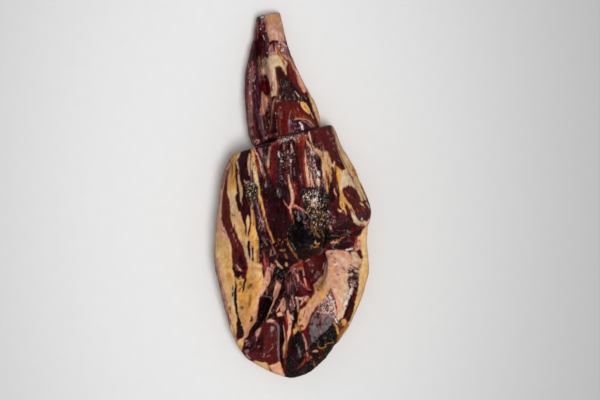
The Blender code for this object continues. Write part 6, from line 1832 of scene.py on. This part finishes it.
def dress(context, node, slot, voxel, tables, grains, rim):
    """Puts a finely meshed and painted piece in a solid's place."""
    relief = context.scene.ham_sizes.relief
    mesh = fine_mesh(node, voxel)
    points = read_points(mesh, "co")
    points += stump_pull(points) + slit_pull(points) + edge_pull(points)
    points += read_points(mesh, "normal") * (relief * swell_of(points))[:, None]
    write_points(mesh, points)
    normals = read_points(mesh, "normal")
    pixels = photo_pixels(points)
    grain, drawn = grain_from(grains[0], pixels, points[:, 2])
    if len(grains) > 1:
        ledge = np.interp(pixels[:, 0], [p[0] for p in LEDGE_PIXELS], [p[1] for p in LEDGE_PIXELS])
        below = pixels[:, 1] > ledge
        grain[below], drawn[below] = grain_from(grains[1], pixels[below], points[below, 2])
    colours = {name: tuple(getattr(context.scene.ham_colours, name)) for name in FINISHES}
    skin = Skin(pixels, grain, drawn, colours)
    for row in itertools.chain(*tables):
        skin.mark(Mark(*row))
    edge = rim_height(rim, points) + MM * layered(points, RIM_WAVES, 0.5)
    under = smooth_step(*RIND_HEIGHTS, points[:, 2] - edge) * smooth_step(*RIND_TILTS, normals[:, 2])
    skin.lay("rind", under)
    write_points(mesh, points + normals * (relief * relief_of(skin, points))[:, None])
    paint = np.column_stack((skin.colour, np.ones(len(points))))
    write_attribute(mesh, "paint", "FLOAT_COLOR", "color", paint)
    write_attribute(mesh, "finish", "FLOAT_VECTOR", "vector", skin.finish[:, (0, 2, 3)])
    write_attribute(mesh, "grain", "FLOAT_VECTOR", "vector", grain)
    mesh.shade_smooth()
    mesh.update()
    mesh.materials.clear()
    mesh.materials.append(meat_material(slot))
    piece = bpy.data.objects.new(node + "_meat", mesh)
    context.scene.collection.objects.link(piece)
    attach(piece, "root")
    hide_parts(node)
    return piece


# The shading. Fibres: how many there are to a pixel across the grain, along it and upwards, and the broad
# ones' share. Scales, grit, salt and smears: how many there are to a metre. The colours are the painted
# shade in the pits between the crust's scales and that of the salt, and SALT_COVER is how thickly the salt
# lies.
FINE_FIBRES = (2.4, 0.22, 0.8)
BROAD_FIBRES = (0.9, 0.10, 0.4)
BROAD_SHARE = 0.45
SCALES, GRIT, SALT, SMEARS = 420.0, 900.0, 520.0, 160.0
PIT_SHADE = (0.42, 0.34, 0.32, 1.0)
SALT_COLOUR = (0.62, 0.58, 0.54, 1.0)
SALT_COVER = 0.4
EVEN = (1.0, 1.0, 1.0)
BUMP_STRENGTH, BUMP_DEPTH = 0.55, 0.6 * MM

# The floor: its paper grain to a metre, and the painted pool of light round the ham, which is longer along
# the ham and lies a little to the left of it. The paper is painted darker, down to FAR_SHADE, between these
# distances from it, in metres.
PAPER_GRAIN = 60.0
LIT_SHIFT = (0.09, 0.0, 0.0)
LIT_SHAPE = (1.0, 0.55, 1.0)
LIT_REACH = (0.08, 0.75)
FAR_SHADE = 0.55


def add_node(tree, kind, place, **settings):
    """A new shader node, with its properties set."""
    node = tree.nodes.new(kind)
    node.location = (200 * place[0], -160 * place[1])
    for name, value in settings.items():
        setattr(node, name, value)
    return node


def add_group(name, inputs, outputs):
    """A new shader node group with named sockets, and the nodes at its two ends."""
    group = bpy.data.node_groups.new(name, "ShaderNodeTree")
    for socket, kind, default in inputs:
        made = group.interface.new_socket(socket, in_out="INPUT", socket_type=kind)
        if default is not None:
            made.default_value = default
    for socket, kind in outputs:
        group.interface.new_socket(socket, in_out="OUTPUT", socket_type=kind)
    return group, group.nodes.new("NodeGroupInput"), group.nodes.new("NodeGroupOutput")


def math_node(tree, place, operation, first, second, clamp=False):
    """A Math node on two values, each of them a socket or a number."""
    node = add_node(tree, "ShaderNodeMath", place, operation=operation, use_clamp=clamp)
    for socket, value in zip(node.inputs, (first, second)):
        if isinstance(value, (int, float)):
            socket.default_value = value
        else:
            tree.links.new(value, socket)
    return node.outputs[0]


def range_node(tree, place, value, low, high, to_low, to_high):
    """A Map Range node, which turns low to high into to_low to to_high."""
    node = add_node(tree, "ShaderNodeMapRange", place, interpolation_type="SMOOTHSTEP")
    tree.links.new(value, node.inputs["Value"])
    for socket, number in zip(("From Min", "From Max", "To Min", "To Max"), (low, high, to_low, to_high)):
        node.inputs[socket].default_value = number
    return node.outputs["Result"]


def noise_node(tree, place, vector, scale, stretch, detail):
    """A Noise Texture on a vector that is scaled unevenly first."""
    mapping = add_node(tree, "ShaderNodeMapping", place, vector_type="POINT")
    mapping.inputs["Scale"].default_value = stretch
    tree.links.new(vector, mapping.inputs["Vector"])
    texture = add_node(tree, "ShaderNodeTexNoise", (place[0] + 1, place[1]))
    texture.inputs["Scale"].default_value = scale
    texture.inputs["Detail"].default_value = detail
    texture.inputs["Roughness"].default_value = 0.6
    tree.links.new(mapping.outputs[0], texture.inputs["Vector"])
    return texture.outputs["Fac"]


def fibre_group():
    """Fine strands along the grain: their shade, and their height for a bump."""
    group, given, result = add_group(
        "Meat fibres",
        (("Grain", "NodeSocketVector", None), ("Amount", "NodeSocketFloat", 1.0)),
        (("Shade", "NodeSocketFloat"), ("Height", "NodeSocketFloat")),
    )
    fine = noise_node(group, (1, 0), given.outputs["Grain"], 1.0, FINE_FIBRES, 3.0)
    broad = noise_node(group, (1, 1), given.outputs["Grain"], 1.0, BROAD_FIBRES, 2.0)
    broad = math_node(group, (3, 1), "MULTIPLY", broad, BROAD_SHARE)
    fine = math_node(group, (3, 2), "MULTIPLY", fine, 1.0 - BROAD_SHARE)
    both = math_node(group, (3, 0), "ADD", broad, fine)
    spread = range_node(group, (4, 0), both, 0.34, 0.66, -1.0, 1.0)
    amount = given.outputs["Amount"]
    group.links.new(math_node(group, (5, 0), "MULTIPLY", spread, amount), result.inputs["Shade"])
    group.links.new(math_node(group, (5, 1), "MULTIPLY", both, amount), result.inputs["Height"])
    return group


def crust_group():
    """Dry, pitted crust: painted shade in the pits between scales, and their height for a bump."""
    group, given, result = add_group(
        "Dry crust",
        (
            ("Place", "NodeSocketVector", None),
            ("Scale", "NodeSocketFloat", SCALES),
            ("Amount", "NodeSocketFloat", 1.0),
        ),
        (("Pits", "NodeSocketFloat"), ("Height", "NodeSocketFloat")),
    )
    scales = add_node(group, "ShaderNodeTexVoronoi", (1, 0), feature="F1")
    group.links.new(given.outputs["Place"], scales.inputs["Vector"])
    group.links.new(given.outputs["Scale"], scales.inputs["Scale"])
    grit = noise_node(group, (1, 1), given.outputs["Place"], GRIT, EVEN, 4.0)
    rough = math_node(group, (3, 0), "ADD", scales.outputs["Distance"], grit)
    pits = range_node(group, (4, 0), rough, 0.72, 1.15, 0.0, 1.0)
    low = math_node(group, (4, 1), "MULTIPLY", rough, -1.0)
    amount = given.outputs["Amount"]
    group.links.new(math_node(group, (5, 0), "MULTIPLY", pits, amount), result.inputs["Pits"])
    group.links.new(math_node(group, (5, 1), "MULTIPLY", low, amount), result.inputs["Height"])
    return group


def fleck_group():
    """Small crystals of salt, which cover the given share of the cells."""
    group, given, result = add_group(
        "Salt flecks",
        (
            ("Place", "NodeSocketVector", None),
            ("Scale", "NodeSocketFloat", SALT),
            ("Share", "NodeSocketFloat", 0.1),
        ),
        (("Mask", "NodeSocketFloat"),),
    )
    dots = add_node(group, "ShaderNodeTexVoronoi", (1, 0), feature="F1")
    group.links.new(given.outputs["Place"], dots.inputs["Vector"])
    group.links.new(given.outputs["Scale"], dots.inputs["Scale"])
    pick = add_node(group, "ShaderNodeSeparateColor", (2, 1))
    group.links.new(dots.outputs["Color"], pick.inputs[0])
    chosen = math_node(group, (3, 1), "LESS_THAN", pick.outputs[0], given.outputs["Share"])
    core = range_node(group, (3, 0), dots.outputs["Distance"], 0.20, 0.34, 1.0, 0.0)
    group.links.new(math_node(group, (4, 0), "MULTIPLY", core, chosen), result.inputs["Mask"])
    return group


def place_group(tree, group, place, **values):
    """A node group in a material, with its inputs linked or set."""
    node = add_node(tree, "ShaderNodeGroup", place, node_tree=group)
    for name, value in values.items():
        if isinstance(value, (int, float)):
            node.inputs[name].default_value = value
        else:
            tree.links.new(value, node.inputs[name])
    return node


def effect(name, build):
    """The node group of that name, built when it is first asked for."""
    return bpy.data.node_groups.get(name) or build()


def mix_colour(tree, place, blend, factor, first, second):
    """A Mix node for colours."""
    node = add_node(tree, "ShaderNodeMix", place, data_type="RGBA", blend_type=blend)
    for socket, value in zip((node.inputs[0], node.inputs[6], node.inputs[7]), (factor, first, second)):
        if isinstance(value, (int, float, tuple)):
            socket.default_value = value
        else:
            tree.links.new(value, socket)
    return node.outputs[2]


def grey(tree, place, value):
    """A colour whose three parts are all this value."""
    node = add_node(tree, "ShaderNodeCombineXYZ", place)
    for socket in node.inputs:
        tree.links.new(value, socket)
    return node.outputs[0]


def new_material(name):
    """A new material, its node tree and its shader."""
    material = bpy.data.materials.new(name)
    material.use_nodes = True
    tree = material.node_tree
    return material, tree, next(node for node in tree.nodes if node.type == "BSDF_PRINCIPLED")


def meat_material(name):
    """Cured meat: painted lean, fat and crust, with fibres, salt, an oily sheen and light under the skin."""
    material, tree, shader = new_material(name)
    shader.location = (2200, 0)
    paint = add_node(tree, "ShaderNodeAttribute", (0, 0), attribute_name="paint")
    finish = add_node(tree, "ShaderNodeAttribute", (0, 1), attribute_name="finish")
    grain = add_node(tree, "ShaderNodeAttribute", (0, 2), attribute_name="grain")
    place = add_node(tree, "ShaderNodeTexCoord", (0, 3)).outputs["Object"]
    parts = add_node(tree, "ShaderNodeSeparateXYZ", (1, 1))
    tree.links.new(finish.outputs["Vector"], parts.inputs[0])
    roughness, crust, fibre = parts.outputs
    fibre_look = effect("Meat fibres", fibre_group)
    crust_look = effect("Dry crust", crust_group)
    salt_look = effect("Salt flecks", fleck_group)
    fibres = place_group(tree, fibre_look, (2, 1), Grain=grain.outputs["Vector"], Amount=fibre)
    scales = place_group(tree, crust_look, (2, 2), Place=place, Scale=SCALES, Amount=crust)
    share = range_node(tree, (2, 3), crust, 0.0, 1.0, 0.006, 0.05)
    salt = place_group(tree, salt_look, (3, 3), Place=place, Scale=SALT, Share=share)
    gain = range_node(tree, (3, 0), fibres.outputs["Shade"], -1.0, 1.0, 0.80, 1.20)
    streaked = mix_colour(tree, (5, 0), "MULTIPLY", 1.0, paint.outputs["Color"], grey(tree, (4, 0), gain))
    # The crust's pits are painted darker here, as painted shade.
    pitted = mix_colour(tree, (6, 0), "MULTIPLY", scales.outputs["Pits"], streaked, PIT_SHADE)
    dusted = math_node(tree, (6, 1), "MULTIPLY", salt.outputs["Mask"], SALT_COVER)
    salted = mix_colour(tree, (7, 0), "MIX", dusted, pitted, SALT_COLOUR)
    tree.links.new(salted, shader.inputs["Base Color"])
    smear = noise_node(tree, (3, 4), place, SMEARS, EVEN, 3.0)
    oily = range_node(tree, (5, 4), smear, 0.35, 0.65, -0.07, 0.10)
    tree.links.new(math_node(tree, (6, 4), "ADD", roughness, oily, True), shader.inputs["Roughness"])
    heights = math_node(tree, (4, 5), "MULTIPLY_ADD", fibres.outputs["Height"], 0.5)
    tree.links.new(scales.outputs["Height"], heights.node.inputs[2])
    relief = add_node(tree, "ShaderNodeBump", (7, 3))
    relief.inputs["Strength"].default_value = BUMP_STRENGTH
    relief.inputs["Distance"].default_value = BUMP_DEPTH
    tree.links.new(heights, relief.inputs["Height"])
    tree.links.new(relief.outputs[0], shader.inputs["Normal"])
    shader.inputs["Specular IOR Level"].default_value = 0.32
    shader.inputs["Subsurface Weight"].default_value = 0.08
    shader.inputs["Subsurface Radius"].default_value = (3.0, 1.0, 0.6)
    shader.inputs["Subsurface Scale"].default_value = 1.0 * MM
    shader.inputs["Coat Weight"].default_value = 0.15
    shader.inputs["Coat Roughness"].default_value = 0.07
    return material


def soft_world(sizes):
    """Even light from all round, which shiny meat sees as dark overhead and bright low down."""
    world = bpy.data.worlds.new("Soft light all round")
    world.use_nodes = True
    tree = world.node_tree
    light = tree.nodes["Background"]
    light.inputs["Color"].default_value = (1.0, 1.0, 1.0, 1.0)
    path = add_node(tree, "ShaderNodeLightPath", (-5, 0))
    height = add_node(tree, "ShaderNodeSeparateXYZ", (-4, 1))
    tree.links.new(add_node(tree, "ShaderNodeTexCoord", (-5, 1)).outputs["Generated"], height.inputs[0])
    shine = range_node(tree, (-3, 1), height.outputs[2], 0.35, 0.8, 0.3 * sizes.fill, 0.02)
    strength = add_node(tree, "ShaderNodeMix", (-2, 0))
    tree.links.new(path.outputs["Is Glossy Ray"], strength.inputs[0])
    strength.inputs[2].default_value = sizes.fill
    tree.links.new(shine, strength.inputs[3])
    tree.links.new(strength.outputs[0], light.inputs["Strength"])
    return world


def point_at_ham(scene, lamp, place):
    """Puts a lamp in its place, turned towards the ham."""
    lamp.location = place
    lamp.rotation_mode = "QUATERNION"
    lamp.rotation_quaternion = (-place).to_track_quat("-Z", "Y")
    scene.collection.objects.link(lamp)


def set_stage(scene, sizes):
    """The pale floor, the soft lamps and the camera straight above the ham."""
    scene.view_settings.view_transform = "Standard"
    half = sizes.floor_size / 2
    shape = bmesh.new()
    bmesh.ops.create_grid(shape, x_segments=8, y_segments=8, size=half)
    mesh = bpy.data.meshes.new("studio_floor")
    shape.to_mesh(mesh)
    shape.free()
    floor = bpy.data.objects.new("studio_floor", mesh)
    scene.collection.objects.link(floor)
    mesh.materials.append(floor_material(sizes))
    floor.visible_glossy = False

    scene.world = soft_world(sizes)
    sun = bpy.data.lights.new("Key light", "SUN")
    sun.energy = math.pi * sizes.key
    sun.angle = math.radians(sizes.key_softness)
    key = bpy.data.objects.new("Key light", sun)
    key.visible_glossy = False
    point_at_ham(scene, key, KEY_PLACE)
    for number, place in enumerate(GLINT_PLACES):
        lamp = bpy.data.lights.new(f"Glint lamp {number}", "AREA")
        lamp.size = GLINT_SIZE
        lamp.energy = sizes.glints
        glint = bpy.data.objects.new(f"Glint lamp {number}", lamp)
        glint.visible_diffuse = False
        point_at_ham(scene, glint, place)

    lens = bpy.data.cameras.new("Photograph view")
    lens.sensor_width = SENSOR
    lens.lens = SENSOR * (CAMERA_HEIGHT - OUTLINE_HEIGHT) / (FRAME_WIDE * PIXEL)
    lens.clip_end = FAR_CLIP
    camera = bpy.data.objects.new("Photograph view", lens)
    camera.location = (VIEW_CENTRE.x, VIEW_CENTRE.y, CAMERA_HEIGHT)
    scene.collection.objects.link(camera)
    scene.camera = camera


def floor_material(sizes):
    """Matt pale paper with a painted pool of light: painted darker away from the ham."""
    material, tree, shader = new_material("Pale paper")
    place = add_node(tree, "ShaderNodeTexCoord", (0, 0)).outputs["Object"]
    tooth = noise_node(tree, (1, 0), place, PAPER_GRAIN, EVEN, 4.0)
    shade = range_node(tree, (3, 0), tooth, 0.3, 0.7, 0.985, 1.0)
    spread = add_node(tree, "ShaderNodeMapping", (1, 1))
    spread.inputs["Location"].default_value = LIT_SHIFT
    spread.inputs["Scale"].default_value = LIT_SHAPE
    tree.links.new(place, spread.inputs["Vector"])
    away = add_node(tree, "ShaderNodeVectorMath", (2, 1), operation="LENGTH")
    tree.links.new(spread.outputs[0], away.inputs[0])
    # Painted light: the paper is painted darker away from the ham.
    painted_light_falloff = range_node(tree, (3, 1), away.outputs["Value"], *LIT_REACH, 1.0, FAR_SHADE)
    shade = math_node(tree, (4, 1), "MULTIPLY", shade, painted_light_falloff)
    colour = tuple(linear(sizes.floor)) + (1.0,)
    shaded = mix_colour(tree, (6, 0), "MULTIPLY", 1.0, colour, grey(tree, (5, 1), shade))
    tree.links.new(shaded, shader.inputs["Base Color"])
    shader.inputs["Roughness"].default_value = 0.9
    shader.inputs["Specular IOR Level"].default_value = 0.1
    return material


class HAM_OT_set_stage(bpy.types.Operator):
    """Make the floor, the lamps and the camera"""

    bl_idname = "ham.set_stage"
    bl_label = "Set the stage"

    def execute(self, context):
        set_stage(context.scene, context.scene.ham_stage)
        return {"FINISHED"}


class HAM_OT_dress_body(bpy.types.Operator):
    """Dress the body of the ham in lean, fat, crust and rind"""

    bl_idname = "ham.dress_body"
    bl_label = "Dress the body"

    def execute(self, context):
        sizes = context.scene.ham_sizes
        tables = (BLOCK_MARKS, LEFT_MARKS, LOWER_MARKS)
        grains = (BLOCK_GRAIN, LOWER_GRAIN)
        dress(context, "ham_body", "cured_meat", sizes.body_voxel, tables, grains, BODY_RIM)
        return {"FINISHED"}


class HAM_OT_dress_shank(bpy.types.Operator):
    """Dress the shank of the ham in lean, fat and rind"""

    bl_idname = "ham.dress_shank"
    bl_label = "Dress the shank"

    def execute(self, context):
        sizes = context.scene.ham_sizes
        dress(context, "shank", "shank_meat", sizes.shank_voxel, (SHANK_MARKS,), (SHANK_GRAIN,), SHANK_RIM)
        return {"FINISHED"}


class HAM_PT_panel(bpy.types.Panel):
    """The ham's sizes, colours and steps"""

    bl_idname = "HAM_PT_panel"
    bl_label = "Boned cured ham"
    bl_space_type = "VIEW_3D"
    bl_region_type = "UI"
    bl_category = "Ham"

    def draw(self, context):
        scene = context.scene
        for step in STEPS:
            self.layout.operator(step.bl_idname)
        for settings in (scene.ham_sizes, scene.ham_stage, scene.ham_colours):
            box = self.layout.box()
            for name in settings.__annotations__:
                box.prop(settings, name)


SETTINGS = (HamColours, HamSizes, StageSizes)
STEPS = (HAM_OT_set_stage, HAM_OT_dress_body, HAM_OT_dress_shank)


def register():
    """Makes the settings, the steps and the panel known to Blender."""
    for made in SETTINGS + STEPS + (HAM_PT_panel,):
        bpy.utils.register_class(made)
    bpy.types.Scene.ham_colours = bpy.props.PointerProperty(type=HamColours)
    bpy.types.Scene.ham_sizes = bpy.props.PointerProperty(type=HamSizes)
    bpy.types.Scene.ham_stage = bpy.props.PointerProperty(type=StageSizes)


def unregister():
    """Takes back what register made."""
    del bpy.types.Scene.ham_stage
    del bpy.types.Scene.ham_sizes
    del bpy.types.Scene.ham_colours
    for made in reversed(SETTINGS + STEPS + (HAM_PT_panel,)):
        bpy.utils.unregister_class(made)


def main():
    """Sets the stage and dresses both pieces."""
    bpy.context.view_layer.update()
    register()
    bpy.ops.ham.set_stage()
    bpy.ops.ham.dress_body()
    bpy.ops.ham.dress_shank()


if __name__ == "__main__":
    main()
